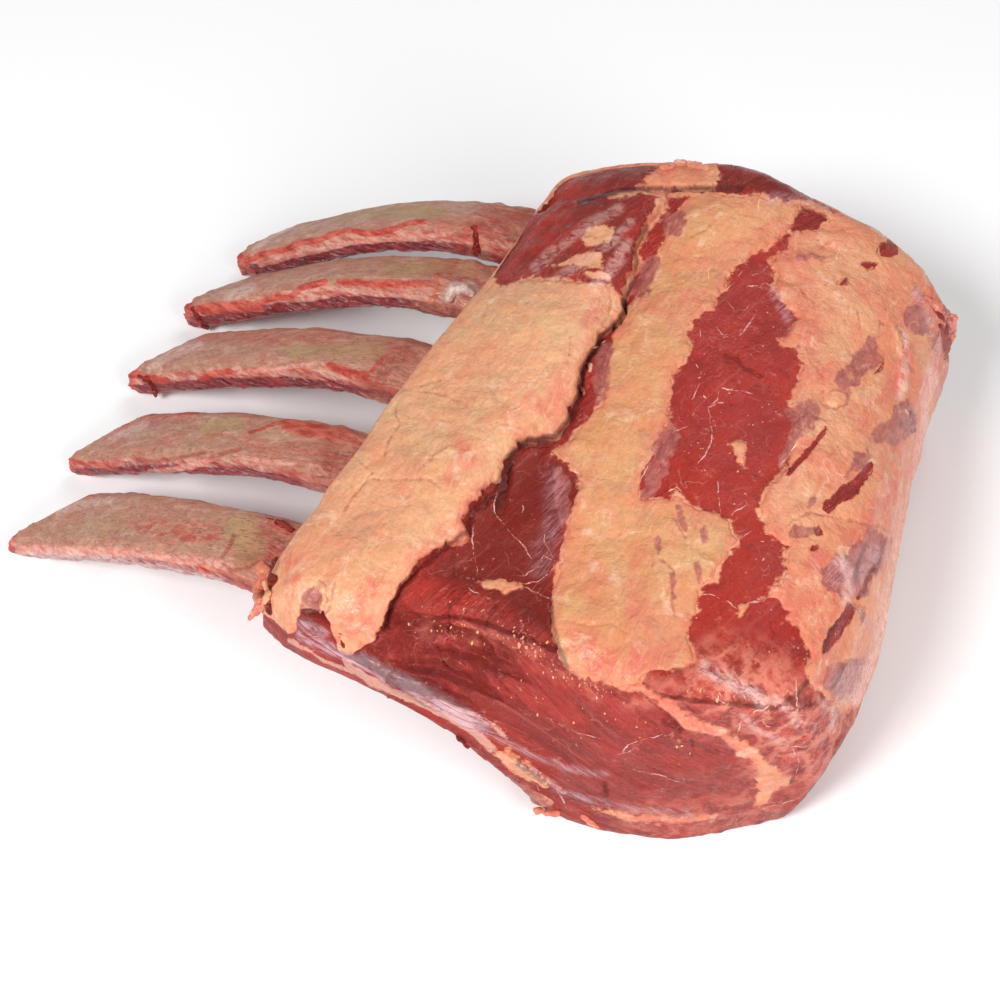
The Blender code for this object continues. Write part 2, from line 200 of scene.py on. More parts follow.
FLAP = ((541, 213), (558, 203), (600, 195), (642, 190), (668, 194), (664, 205), (648, 224), (634, 252),
    (637, 262), (629, 275), (623, 297), (624, 312), (610, 328), (600, 336), (592, 350), (582, 368),
    (577, 395), (566, 418), (558, 434), (538, 437), (516, 440), (518, 450), (508, 455), (502, 462),
    (500, 478), (490, 487), (482, 492), (478, 500), (470, 503), (467, 512), (462, 520), (466, 535),
    (455, 543), (447, 540), (440, 548), (419, 560), (404, 581), (393, 599), (384, 620), (378, 632),
    (374, 639), (365, 645), (348, 658), (338, 652), (331, 629), (327, 617), (322, 611), (310, 607),
    (299, 610), (297, 632), (290, 634), (268, 616), (225, 590), (380, 330), (480, 210), (520, 190))
BAND = ((690, 196), (700, 194), (760, 197), (799, 203), (799, 210), (790, 226), (780, 242), (768, 246),
    (752, 252), (744, 262), (734, 268), (727, 276), (724, 288), (716, 298), (713, 309), (703, 313),
    (699, 317), (690, 324), (687, 332), (691, 345), (688, 358), (679, 368), (673, 384), (670, 395),
    (668, 417), (660, 432), (656, 444), (644, 468), (638, 484), (641, 498), (660, 500), (668, 503),
    (677, 493), (684, 500), (702, 511), (719, 515), (727, 522), (732, 536), (738, 540), (730, 548),
    (724, 558), (718, 572), (715, 582), (704, 584), (698, 600), (696, 612), (690, 618), (689, 640),
    (694, 660), (682, 666), (670, 668), (650, 670), (640, 683), (626, 688), (612, 686), (596, 678),
    (578, 674), (566, 667), (556, 646), (551, 624), (554, 598), (557, 572), (563, 545), (569, 515),
    (577, 496), (583, 475), (568, 462), (553, 451), (572, 437), (592, 418), (603, 395), (606, 372),
    (607, 350), (617, 330), (630, 308), (645, 285), (655, 262), (664, 240), (676, 215))
BACK_FAT = ((779, 256), (788, 249), (790, 233), (812, 233), (828, 222), (836, 214), (842, 196),
    (1100, 196), (1100, 690), (868, 702), (848, 712), (828, 700), (815, 688), (806, 680), (805, 670),
    (810, 660), (812, 652), (806, 645), (801, 632), (795, 622), (784, 620), (790, 612), (783, 608),
    (780, 598), (762, 598), (772, 590), (780, 582), (785, 572), (786, 560), (790, 545), (768, 531),
    (758, 512), (762, 492), (776, 478), (792, 466), (785, 452), (790, 430), (799, 414), (788, 402),
    (797, 385), (803, 368), (800, 345), (781, 343), (790, 330), (798, 319), (786, 308), (776, 293),
    (777, 276), (771, 262))
SEAM = ((612, 684), (630, 686), (641, 684), (658, 694), (672, 700), (684, 712), (700, 719), (723, 728),
    (737, 737), (754, 747), (765, 758), (777, 768), (790, 777), (789, 784), (777, 791), (765, 803),
    (756, 805), (753, 800), (758, 784), (757, 770), (749, 758), (737, 754), (728, 744), (719, 735),
    (700, 730), (684, 729), (677, 721), (663, 709), (651, 698), (639, 692), (622, 692))
FAR_LEAN = ((500, 290), (524, 279), (560, 279), (585, 284), (610, 288), (622, 300), (634, 251),
    (646, 224), (657, 203), (668, 190), (600, 180), (520, 180), (470, 240))
POCKET = ((520, 452), (530, 445), (540, 441), (548, 443), (550, 452), (562, 462), (572, 468),
    (580, 472), (583, 480), (580, 492), (575, 505), (565, 525), (560, 545), (556, 560), (552, 600),
    (560, 650), (500, 600), (440, 580), (420, 575), (455, 543), (466, 535), (467, 512), (482, 492),
    (500, 478), (508, 455))
WINDOW = ((771, 240), (799, 320), (803, 368), (790, 430), (760, 500), (786, 560), (806, 640),
    (690, 640), (700, 590), (738, 540), (700, 503), (643, 490), (671, 385), (690, 328), (722, 283),
    (760, 246))

# Patches of one look inside another: what shows, how soft its edge is in mm, and its outline.
PATCHES = {
    "lean": (
        (0.5, ((875, 252), (880, 244), (888, 241), (898, 248), (897, 254), (890, 258), (880, 257))),
        (0.4, ((858, 264), (863, 262), (877, 264), (874, 270), (866, 272), (862, 268))),
        (0.4, ((836, 286), (841, 278), (855, 277), (850, 281), (848, 286), (843, 287))),
        (0.4, ((883, 360), (881, 372), (874, 375), (876, 366))),
        (0.3, ((824, 426), (825, 430), (820, 441), (812, 451), (804, 460), (797, 468), (790, 477),
          (786, 476), (793, 464), (801, 455), (809, 446), (818, 436))),
        (0.5, ((822, 512), (823, 505), (830, 498), (838, 490), (846, 484), (855, 478), (862, 468),
          (870, 461), (873, 464), (872, 472), (866, 478), (860, 486), (858, 492), (850, 500),
          (840, 502), (830, 510), (828, 514))),
        (0.5, ((846, 603), (855, 606), (852, 618), (846, 628), (836, 642), (826, 650), (819, 655),
          (821, 646), (832, 626), (838, 616), (843, 609))),
        (0.3, ((872, 566), (875, 569), (868, 582), (862, 592), (857, 601), (853, 598), (862, 582))),
        (0.3, ((808, 552), (812, 545), (820, 544), (818, 550), (812, 555))),
        (0.3, ((813, 527), (820, 526), (821, 536), (814, 536))),
        (0.6, ((907, 410), (912, 409), (915, 430), (909, 434), (906, 424))),
        (0.8, ((926, 296), (938, 300), (948, 312), (944, 322), (934, 314))),
        (0.8, ((938, 326), (950, 322), (957, 340), (948, 362), (940, 352))),
    ),
    "fat": (
        (1.0, ((640, 190), (650, 172), (668, 160), (690, 156), (716, 160), (722, 172), (716, 190),
          (700, 192), (676, 186), (660, 190))),
        (1.5, ((800, 200), (822, 206), (850, 222), (842, 230), (820, 214), (796, 206))),
        (1.0, ((598, 198), (640, 191), (700, 190), (700, 196), (650, 198))),
        (0.8, ((493, 752), (508, 750), (532, 766), (552, 780), (555, 787), (530, 782), (508, 770))),
        (0.8, ((585, 806), (624, 812), (684, 816), (720, 812), (716, 820), (680, 824), (630, 820))),
        (0.4, ((729, 445), (738, 440), (747, 442), (745, 454), (744, 465), (738, 460), (736, 450))),
        (0.5, ((582, 240), (590, 230), (612, 229), (614, 236), (610, 243), (586, 247))),
        (0.5, ((568, 262), (578, 256), (588, 253), (600, 256), (604, 264), (600, 270), (572, 268),
          (548, 269))),
        (0.5, ((586, 275), (600, 272), (608, 277), (608, 283), (592, 281))),
        (0.5, ((655, 200), (668, 196), (668, 206), (652, 226), (640, 250), (643, 262), (632, 284),
          (628, 300), (620, 300), (626, 276), (634, 262), (632, 250), (642, 230), (650, 214))),
        (0.5, ((635, 190), (638, 182), (646, 178), (647, 184), (642, 190))),
        (0.6, ((781, 545), (786, 545), (788, 557), (782, 558))),
        (0.4, ((738, 606), (748, 604), (746, 612), (740, 618))),
        (0.5, ((475, 578), (485, 576), (500, 577), (512, 580), (520, 584), (505, 592), (497, 588),
          (478, 583))),
    ),
    "veil": (
        (1.2, ((900, 310), (905, 304), (918, 303), (922, 312), (928, 333), (914, 335), (908, 328),
          (902, 318))),
        (1.2, ((870, 333), (878, 336), (881, 352), (884, 358), (874, 368), (862, 378), (850, 390),
          (843, 392), (838, 388), (834, 380), (845, 365), (858, 350), (866, 340))),
        (1.0, ((785, 410), (800, 402), (815, 400), (820, 410), (818, 420), (814, 430), (803, 432),
          (797, 442), (790, 458), (782, 470), (778, 462), (788, 444), (792, 424))),
        (1.2, ((869, 437), (874, 427), (884, 421), (892, 418), (893, 408), (898, 402), (908, 400),
          (914, 405), (916, 415), (915, 430), (908, 438), (900, 442), (894, 447), (888, 443),
          (874, 441))),
        (1.5, ((855, 452), (868, 448), (874, 458), (866, 466), (852, 476), (845, 482), (842, 474))),
        (0.8, ((808, 506), (812, 496), (817, 496), (815, 506), (810, 510))),
        (1.2, ((787, 532), (795, 526), (815, 525), (820, 528), (817, 536), (800, 540))),
        (1.6, ((860, 540), (868, 524), (885, 535), (892, 540), (885, 560), (870, 590), (862, 598),
          (846, 598), (832, 592), (822, 585), (822, 570), (830, 556), (845, 560), (852, 545))),
        (1.8, ((828, 664), (850, 656), (866, 660), (858, 684), (846, 700), (832, 696), (822, 682))),
        (0.8, ((797, 254), (812, 252), (828, 260), (826, 264), (812, 258), (798, 259))),
        (1.2, ((660, 255), (656, 275), (650, 292), (640, 298), (625, 296), (632, 280), (640, 265),
          (650, 256))),
        (1.2, ((664, 214), (684, 212), (686, 222), (676, 236), (662, 236))),
        (1.0, ((597, 340), (612, 342), (612, 372), (606, 398), (596, 404), (592, 384))),
        (1.6, ((668, 420), (680, 428), (676, 450), (664, 476), (656, 498), (640, 500), (642, 474),
          (656, 446))),
        (0.5, ((668, 572), (676, 572), (676, 580), (674, 590), (677, 598), (672, 601), (670, 588))),
        (0.8, ((298, 612), (304, 592), (314, 584), (323, 594), (321, 610), (308, 615))),
        (0.6, ((676, 506), (682, 504), (686, 516), (690, 530), (684, 534), (678, 520))),
        (0.6, ((699, 530), (706, 526), (709, 540), (703, 546))),
        (0.6, ((693, 562), (700, 560), (703, 574), (698, 582))),
        (0.6, ((652, 540), (658, 536), (664, 548), (658, 556))),
        (1.2, ((554, 470), (562, 466), (570, 478), (570, 512), (562, 528), (554, 500))),
        (1.2, ((500, 776), (520, 782), (548, 800), (552, 812), (532, 808), (508, 790))),
    ),
}

# Strokes: half width in pixels, strength, and the line that they follow.
STROKES = {
    # crevices, holes and fold lines: carved into the lean, and painted dark red as their shade
    "shaded_crevice": (
        (2.4, 0.6, ((647, 226), (640, 240), (634, 251), (638, 261))),
        (2.2, 0.5, ((638, 261), (632, 284), (624, 300))),
        (3.4, 1.0, ((624, 300), (624, 312), (612, 328), (602, 335), (593, 353), (584, 368),
          (579, 398))),
        (3.6, 0.9, ((579, 398), (567, 422), (554, 436))),
        (4.5, 1.0, ((552, 438), (530, 441), (514, 452), (509, 470), (502, 488), (498, 506))),
        (2.6, 0.8, ((500, 488), (478, 506), (467, 530), (446, 548), (421, 567), (405, 585), (395, 603),
          (384, 630))),
        (2.4, 0.7, ((552, 600), (553, 622), (558, 646), (568, 668))),
        (2.8, 1.0, ((664, 722), (672, 727), (681, 731))),
        (2.6, 0.6, ((604, 784), (606, 796))),
        (3.0, 1.0, ((580, 202), (620, 191), (640, 189), (690, 188), (740, 187))),
        (2.6, 0.5, ((250, 600), (268, 590), (278, 560))),
    ),
    "crease": (
        (2.0, 0.95, ((725, 354), (738, 361), (751, 371), (761, 377))),
        (1.8, 0.85, ((646, 699), (669, 718), (678, 726))),
        (1.6, 0.9, ((690, 737), (693, 744), (695, 752))),
        (1.6, 0.85, ((709, 744), (716, 751))),
        (1.6, 0.85, ((455, 545), (455, 560), (455, 573))),
        (1.8, 0.95, ((450, 604), (449, 620), (448, 630))),
        (1.8, 0.95, ((496, 604), (488, 618), (486, 630))),
        (1.6, 0.8, ((390, 600), (388, 629))),
        (1.6, 0.8, ((420, 594), (424, 606), (420, 618))),
        (1.6, 0.85, ((436, 646), (444, 660), (450, 668))),
        (1.8, 0.85, ((495, 676), (506, 690), (526, 706))),
        (1.8, 0.85, ((600, 795), (612, 808), (616, 816))),
        (1.8, 0.9, ((799, 318), (794, 325), (784, 340))),
        (1.6, 0.8, ((522, 624), (530, 632), (534, 642))),
        (1.6, 0.8, ((760, 612), (772, 622), (774, 640))),
        (1.6, 0.8, ((461, 508), (457, 520), (455, 530))),
        (2.0, 0.9, ((520, 282), (545, 280), (570, 282), (588, 283))),
        (1.8, 0.85, ((566, 210), (590, 204), (616, 202), (630, 203))),
        (1.6, 0.8, ((612, 300), (608, 316), (600, 330))),
        (1.8, 0.96, ((896, 327), (900, 335), (903, 345), (905, 358), (912, 372))),
        (1.6, 0.84, ((857, 310), (860, 326), (857, 333))),
        (1.6, 0.88, ((878, 330), (880, 321), (884, 324))),
        (2.0, 0.96, ((824, 392), (821, 399), (825, 406), (836, 410), (846, 405), (848, 395),
          (850, 390))),
        (1.6, 0.84, ((838, 447), (830, 457))),
        (1.8, 0.92, ((785, 525), (800, 518), (812, 513), (845, 519), (880, 527), (893, 535))),
        (1.6, 0.88, ((840, 600), (852, 603), (864, 607))),
        (1.6, 0.92, ((845, 659), (857, 661), (866, 657))),
        (1.8, 0.92, ((826, 703), (836, 700), (844, 705))),
        (1.6, 0.84, ((818, 240), (822, 248), (828, 242))),
        (1.6, 0.92, ((672, 512), (679, 526), (685, 538))),
        (1.6, 0.88, ((683, 524), (687, 531))),
        (1.6, 0.88, ((690, 518), (695, 528))),
        (1.6, 0.96, ((695, 568), (697, 576), (700, 583))),
        (1.6, 0.96, ((671, 602), (675, 615))),
        (1.6, 0.84, ((655, 563), (652, 566))),
        (1.8, 0.88, ((660, 560), (668, 566), (674, 574))),
        (1.6, 0.8, ((690, 238), (705, 230), (716, 220))),
        (1.6, 0.88, ((395, 408), (400, 425), (389, 442), (385, 457))),
        (1.6, 0.84, ((360, 460), (373, 473), (352, 500), (344, 512))),
        (1.6, 0.84, ((373, 480), (402, 480), (431, 480), (446, 492))),
        (1.6, 0.8, ((402, 390), (426, 392), (446, 396), (466, 405))),
        (1.6, 0.8, ((408, 390), (426, 384), (440, 382))),
        (1.6, 0.8, ((488, 306), (482, 323))),
        (1.6, 0.88, ((571, 338), (568, 355))),
        (1.6, 0.8, ((542, 358), (550, 376))),
        (1.6, 0.92, ((330, 601), (328, 610), (325, 615))),
        (1.6, 0.88, ((334, 583), (331, 601))),
        (1.6, 0.84, ((339, 634), (356, 640), (368, 643))),
        (1.8, 0.84, ((562, 621), (590, 626), (612, 626), (626, 632))),
        (1.6, 0.76, ((300, 508), (312, 520), (318, 536))),
        (1.6, 0.78, ((420, 470), (438, 452), (452, 446), (470, 452))),
        (1.6, 0.76, ((586, 446), (596, 470), (600, 500))),
        (1.6, 0.76, ((740, 214), (758, 218), (770, 226))),
        (1.6, 0.78, ((836, 330), (846, 320), (850, 306))),
        (1.6, 0.76, ((800, 290), (812, 300), (816, 314))),
        (1.6, 0.78, ((862, 404), (868, 416), (862, 430))),
    ),
    "film": (
        (9, 1.0, ((362, 662), (380, 672), (410, 686), (436, 700), (460, 714), (482, 728))),
        (5, 0.9, ((320, 644), (340, 654), (362, 664))),
        (4, 0.5, ((482, 728), (510, 744), (534, 757), (570, 768), (605, 775))),
        (4, 0.5, ((520, 764), (560, 790), (620, 808), (690, 814))),
        (14, 0.45, ((838, 574), (856, 566), (876, 556))),
        (12, 0.5, ((840, 686), (850, 674))),
        (5, 0.7, ((300, 636), (312, 642), (324, 648))),
        (7, 0.6, ((304, 624), (314, 630), (322, 634))),
        (12, 0.28, ((552, 478), (556, 500), (550, 540), (540, 566))),
        (6, 0.35, ((774, 290), (780, 305), (788, 318))),
        (8, 0.35, ((772, 200), (800, 196), (826, 206))),
        (6, 0.5, ((915, 290), (926, 310), (930, 330), (938, 350))),
        (4, 0.5, ((944, 300), (950, 330), (944, 372), (936, 400))),
        (3, 0.5, ((880, 620), (872, 650), (862, 690))),
        (4, 0.5, ((858, 610), (868, 626), (875, 640), (862, 660), (850, 700))),
        # the next stroke paints a highlight as pale film
        (4, 0.4, ((704, 672), (723, 679), (737, 688), (756, 691))),
        (6, 0.5, ((600, 160), (640, 158), (700, 154))),
    ),
    "blush": (
        (16, 0.5, ((560, 380), (566, 420), (545, 440))),
        (16, 0.6, ((300, 640), (330, 640), (360, 620), (380, 590))),
        (12, 0.5, ((290, 560), (300, 600), (290, 620))),
        (12, 0.6, ((640, 300), (670, 306), (700, 300))),
        (12, 0.5, ((730, 250), (750, 246), (780, 226))),
        (20, 0.8, ((578, 640), (600, 660), (640, 664), (680, 656))),
        (14, 0.4, ((640, 560), (640, 600), (640, 640))),
        (10, 0.7, ((800, 370), (812, 376), (830, 370))),
        (12, 0.5, ((850, 410), (870, 420), (880, 440))),
        (12, 0.6, ((800, 440), (820, 460), (836, 480))),
        (12, 0.7, ((880, 470), (896, 450), (912, 440))),
        (14, 0.8, ((918, 400), (917, 450), (910, 480), (905, 520))),
        (16, 0.7, ((900, 480), (892, 520), (880, 560))),
        (18, 0.6, ((800, 590), (820, 610), (830, 640))),
        (18, 1.0, ((926, 296), (940, 310), (950, 330), (946, 360), (938, 380))),
        (9, 1.0, ((630, 688), (680, 712), (730, 746), (752, 768))),
        (10, 0.8, ((700, 825), (640, 822), (760, 812))),
        (10, 0.7, ((830, 660), (820, 680))),
        (14, 0.9, ((820, 560), (846, 590), (836, 620), (820, 650))),
        (10, 0.8, ((880, 400), (900, 380), (908, 350))),
        (12, 0.7, ((780, 240), (800, 260), (806, 300), (812, 340))),
        (10, 0.6, ((880, 500), (868, 530), (850, 540))),
        (20, 0.6, ((690, 160), (640, 170), (600, 180))),
        (8, 0.5, ((590, 320), (600, 300), (612, 280))),
        (10, 0.6, ((530, 400), (548, 410), (560, 396))),
        (16, 0.6, ((868, 288), (890, 300), (900, 318))),
        (8, 0.8, ((760, 600), (780, 604), (796, 620))),
        (10, 0.5, ((455, 440), (470, 460), (450, 480))),
    ),
    "pale": (
        (24, 0.7, ((500, 320), (530, 310), (556, 326))),
        (18, 0.6, ((405, 445), (430, 450), (450, 438))),
        (16, 0.6, ((430, 400), (470, 420), (490, 390))),
        (16, 0.5, ((420, 490), (450, 500), (470, 480))),
        (14, 0.5, ((330, 560), (360, 560), (400, 540))),
        (8, 0.8, ((348, 460), (356, 454), (362, 458))),
        (16, 0.6, ((620, 420), (620, 460), (640, 480))),
        (12, 1.0, ((664, 530), (690, 528), (710, 540), (722, 548))),
        (12, 1.0, ((650, 590), (664, 560), (690, 560), (706, 570))),
        (14, 0.5, ((610, 560), (620, 600), (600, 630))),
        (16, 0.5, ((700, 230), (730, 220), (760, 214))),
        (14, 0.6, ((840, 300), (860, 310), (870, 324))),
        (10, 0.8, ((776, 500), (790, 494), (806, 488))),
        (10, 0.8, ((832, 404), (846, 424), (838, 440))),
        (10, 0.7, ((800, 424), (806, 432), (798, 438))),
        (8, 0.8, ((812, 616), (826, 610), (834, 600))),
        (5, 0.9, ((889, 314), (898, 330), (903, 352), (903, 388))),
        (9, 0.8, ((770, 488), (800, 468), (822, 446), (842, 420), (862, 396), (882, 378))),
        (9, 0.6, ((790, 520), (820, 514), (850, 508), (876, 486))),
        (8, 0.6, ((800, 240), (830, 236), (856, 246))),
    ),
    "marble": (
        (12, 0.3, ((430, 630), (500, 638), (560, 668), (600, 694))),
        (46, 1.0, ((724, 684), (770, 700), (800, 740))),
        (34, 0.8, ((776, 764), (820, 752), (838, 720))),
        (26, 0.5, ((640, 822), (700, 826), (760, 806))),
        (20, 0.5, ((640, 694), (670, 690), (700, 672))),
    ),
    # lean painted darker and browner as shade: in the pocket, at the far end and low on the near face
    "painted_shade": (
        (12, 0.6, ((590, 178), (620, 178), (650, 174))),
        (12, 0.5, ((590, 210), (620, 220), (600, 256), (530, 262))),
        (10, 0.5, ((724, 180), (760, 186), (790, 192))),
        (8, 0.5, ((440, 560), (470, 548), (490, 580), (500, 610))),
        (14, 0.35, ((470, 700), (520, 720), (580, 744))),
    ),
    # pale pink highlights painted in wisps where wet surfaces catch the light: the right edge and the near
    # corner; on the far lean they also stand for pale streaks
    "painted_highlight": (
        (6, 0.3, ((536, 268), (562, 244), (590, 224), (618, 208))),
        (5, 0.34, ((560, 276), (590, 258), (616, 238), (630, 222))),
        (7, 0.36, ((598, 284), (612, 268), (626, 246))),
        (7, 0.9, ((906, 500), (903, 530), (898, 560), (890, 596), (880, 636))),
        (5, 0.7, ((932, 372), (926, 410), (918, 450), (910, 490))),
        (5, 0.6, ((880, 640), (868, 672), (856, 700))),
        (6, 0.5, ((838, 560), (850, 574), (846, 600))),
        (8, 0.6, ((706, 668), (720, 676), (748, 690), (762, 702))),
        (6, 0.45, ((776, 700), (790, 712), (800, 726))),
        (4, 0.4, ((742, 716), (760, 732), (784, 742))),
        (4, 0.5, ((820, 700), (836, 712), (832, 730))),
        (3, 0.3, ((372, 664), (420, 688), (470, 716))),
        (4, 0.5, ((904, 336), (906, 360), (900, 396))),
        (4, 0.4, ((640, 160), (670, 158), (700, 160))),
    ),
    "tan": (
        (4, 1.0, ((346, 660), (352, 668), (370, 681), (388, 690), (428, 706), (470, 728), (492, 748))),
        (3, 0.8, ((290, 640), (310, 652), (330, 664), (352, 672))),
        (3, 0.5, ((492, 748), (520, 764), (548, 782), (566, 792))),
        (2.5, 0.6, ((470, 712), (492, 724), (506, 738))),
    ),
}

# Webs of pale tissue that lie on the lean: half width in mm, and the line that they follow.
WEBS = (
    (0.34, ((719, 389), (717, 400), (709, 407), (712, 415), (713, 428), (710, 443), (704, 458),
      (693, 470))),
    (0.3, ((719, 388), (728, 390), (743, 393), (754, 394))),
    (0.45, ((709, 407), (716, 404), (725, 402))),
    (0.22, ((700, 370), (701, 380), (695, 393), (687, 406))),
    (0.2, ((692, 359), (696, 364), (699, 369))),
    (0.4, ((758, 300), (756, 313), (749, 324), (738, 337), (730, 348))),
    (0.3, ((725, 291), (734, 281), (743, 270))),
    (0.3, ((745, 285), (751, 287), (764, 283), (771, 285))),
    (0.24, ((717, 320), (719, 330), (725, 336), (736, 337))),
    (0.2, ((751, 275), (760, 272), (771, 263))),
    (0.18, ((727, 302), (734, 311), (745, 311), (751, 302))),
    (0.24, ((700, 324), (701, 341))),
    (0.26, ((668, 440), (676, 430), (688, 424), (694, 410))),
    (0.3, ((719, 480), (720, 498), (721, 515))),
    (0.26, ((728, 522), (733, 512), (748, 505), (758, 508))),
    (0.24, ((740, 540), (748, 534), (756, 528))),
    (0.32, ((700, 594), (714, 597), (728, 601), (738, 610))),
    (0.4, ((738, 612), (742, 606), (750, 601), (764, 599), (776, 590))),
    (0.32, ((498, 490), (494, 500), (494, 512), (508, 530), (526, 546), (533, 562))),
    (0.28, ((473, 520), (474, 545), (478, 576))),
    (0.34, ((520, 578), (530, 573), (540, 565), (543, 556), (556, 563))),
    (0.26, ((545, 528), (546, 540), (556, 563))),
    (0.24, ((520, 500), (523, 506), (521, 516))),
    (0.34, ((556, 562), (548, 574), (536, 582), (520, 584))),
    (0.28, ((520, 584), (532, 590), (546, 596), (556, 602))),
    (0.28, ((468, 585), (472, 591), (480, 595), (492, 600))),
    (0.34, ((663, 734), (646, 739), (630, 744), (618, 756))),
    (0.24, ((640, 742), (628, 752), (612, 756))),
    (0.42, ((791, 670), (793, 691), (797, 709), (800, 721), (814, 723))),
    (0.5, ((800, 721), (808, 724), (815, 723))),
    (0.36, ((817, 719), (826, 705), (835, 700), (844, 704))),
    (0.36, ((796, 723), (795, 737), (791, 747), (805, 747), (812, 737))),
    (0.5, ((737, 733), (744, 719), (754, 712), (763, 709), (775, 702))),
    (0.3, ((705, 672), (723, 679), (737, 688), (756, 691), (768, 698))),
    (0.28, ((757, 712), (764, 724), (776, 728), (790, 722))),
    (0.28, ((791, 747), (800, 760), (796, 775))),
    (0.24, ((700, 700), (712, 696), (724, 702), (732, 712))),
    (0.4, ((553, 786), (560, 796), (564, 804), (572, 806))),
    (0.34, ((536, 786), (542, 796), (552, 800))),
    (0.3, ((585, 808), (604, 812), (624, 815), (660, 818), (700, 818))),
    (0.26, ((480, 712), (492, 722), (500, 726), (512, 742))),
    (0.22, ((545, 716), (566, 728), (590, 736), (616, 742))),
    (0.22, ((600, 758), (630, 766), (668, 776), (700, 788))),
    (0.24, ((300, 628), (308, 634), (318, 636), (328, 644))),
    (0.22, ((740, 799), (760, 808), (790, 800), (812, 790))),
)
# Thin threads of fat, cream on cream.
THREADS = (
    (0.25, ((641, 325), (636, 330), (630, 333))),
    (0.3, ((592, 348), (600, 345), (606, 340))),
    (0.28, ((524, 404), (516, 410), (506, 412))),
    (0.26, ((570, 470), (576, 474), (584, 474))),
    (0.24, ((712, 258), (707, 270), (708, 284))),
    (0.26, ((760, 196), (756, 206), (758, 216))),
    (0.3, ((800, 440), (794, 450), (786, 460), (780, 466))),
    (0.26, ((903, 405), (908, 414), (912, 425))),
    (0.24, ((650, 462), (644, 474), (636, 484))),
    (0.3, ((668, 492), (676, 486), (682, 492))),
    (0.24, ((834, 470), (842, 476), (850, 474))),
)


# ---------------------------------------------------------------- mesh helpers

MERGED_BELOW = 0.02 * MM
BOX_MARGIN = 0.02 * MM  # between the looks and the CAD box
FAR = 12.0  # mm: well inside a look, or well outside it when negative
SEEN_FULLY = 0.22  # how squarely a surface faces the camera where it counts as seen
SHOWN_FROM = 0.3  # patches reach this far into what is only partly seen
DRAWN_PUSH = 1.5  # pixels that drawn lines are pushed about
PATCH_REACH = 26  # pixels round a patch that its edge can reach
NODE_TOUCH = 1.4  # mm between the roast's skin and a node that shows in it


def select_only(*pieces):
    bpy.ops.object.select_all(action="DESELECT")
    for piece in pieces:
        piece.select_set(True)
    bpy.context.view_layer.objects.active = pieces[0]


def joined(pieces, name):
    """One object made of several, with a name of its own."""
    select_only(*pieces)
    if len(pieces) > 1:
        bpy.ops.object.join()
    piece = bpy.context.object
    piece.name = piece.data.name = name
    return piece


def in_edit_mode(piece, *steps):
    """Runs each step on everything selected in edit mode."""
    select_only(piece)
    bpy.ops.object.mode_set(mode="EDIT")
    bpy.ops.mesh.select_all(action="SELECT")
    for step in steps:
        step()
    bpy.ops.object.mode_set(mode="OBJECT")


def on_faces(piece, chosen, *steps):
    """Runs each step in edit mode with the chosen faces selected."""
    select_only(piece)
    bpy.context.tool_settings.mesh_select_mode = (False, False, True)
    bpy.ops.object.mode_set(mode="EDIT")
    bpy.ops.mesh.select_all(action="DESELECT")
    bpy.ops.object.mode_set(mode="OBJECT")
    piece.data.polygons.foreach_set("select", chosen)
    bpy.ops.object.mode_set(mode="EDIT")
    for step in steps:
        step()
    bpy.context.tool_settings.mesh_select_mode = (True, False, False)
    bpy.ops.object.mode_set(mode="OBJECT")


def thin_out(piece, chosen, share):
    """Leaves only a share of the chosen faces."""
    on_faces(piece, chosen, lambda: bpy.ops.mesh.decimate(ratio=share))


def apply_modifier(piece, kind, **settings):
    modifier = piece.modifiers.new(kind.lower(), kind)
    for name, value in settings.items():
        setattr(modifier, name, value)
    select_only(piece)
    bpy.ops.object.modifier_apply(modifier=modifier.name)


def merge_points():
    bpy.ops.mesh.remove_doubles(threshold=MERGED_BELOW)


def delete_faces():
    bpy.ops.mesh.delete(type="FACE")
    bpy.ops.mesh.select_all(action="SELECT")
    bpy.ops.mesh.delete_loose()


def new_object(name, data):
    piece = bpy.data.objects.new(name, data)
    bpy.context.scene.collection.objects.link(piece)
    return piece


def copy_of_nodes(name, nodes):
    """One new object with merged copies of CAD nodes."""
    pieces = []
    for node in nodes:
        data = frame["nodes"][node].data.copy()
        data.materials.clear()
        pieces.append(new_object(name, data))
    piece = joined(pieces, name)
    in_edit_mode(piece, merge_points)
    return piece


def values_of(items, name, width=3, kind=float):
    """One stored value of all points, edges, faces or corners, a row for each."""
    values = np.empty(len(items) * width, kind)
    items.foreach_get(name, values)
    return values.reshape(-1, width)


def places(piece):
    return values_of(piece.data.vertices, "co")


def outward(piece):
    return values_of(piece.data.vertices, "normal")


def edges_of(piece):
    return values_of(piece.data.edges, "vertices", 2, np.int64)


def move_to(piece, points):
    """Gives the mesh its new places, kept inside the CAD box."""
    inside = np.clip(points, LOW + BOX_MARGIN, HIGH - BOX_MARGIN)
    piece.data.vertices.foreach_set("co", inside.ravel())
    piece.data.update()


def raised(points, normals, height):
    """Points moved outward by a height in mm."""
    return points + normals * (height * MM)[:, None]


def faces_touching(piece, wanted):
    """For each face, whether any of its points is wanted."""
    counts = values_of(piece.data.polygons, "loop_total", 1, np.int64)[:, 0]
    corners = values_of(piece.data.loops, "vertex_index", 1, np.int64)[:, 0]
    owner = np.repeat(np.arange(len(counts)), counts)
    return np.bincount(owner, weights=wanted[corners].astype(float), minlength=len(counts)) > 0


def relaxed(points, edges, weight, times):
    """Points drawn towards their neighbours, where weight is over 0."""
    count = len(points)
    ends = np.concatenate([edges[:, 0], edges[:, 1]])
    others = np.concatenate([edges[:, 1], edges[:, 0]])
    number = np.maximum(np.bincount(ends, minlength=count), 1)
    points = points.copy()
    for _ in range(times):
        mean = np.stack([np.bincount(ends, weights=points[others, axis], minlength=count) / number
                         for axis in range(3)], axis=1)
        points += weight[:, None] * 0.5 * (mean - points)
    return points


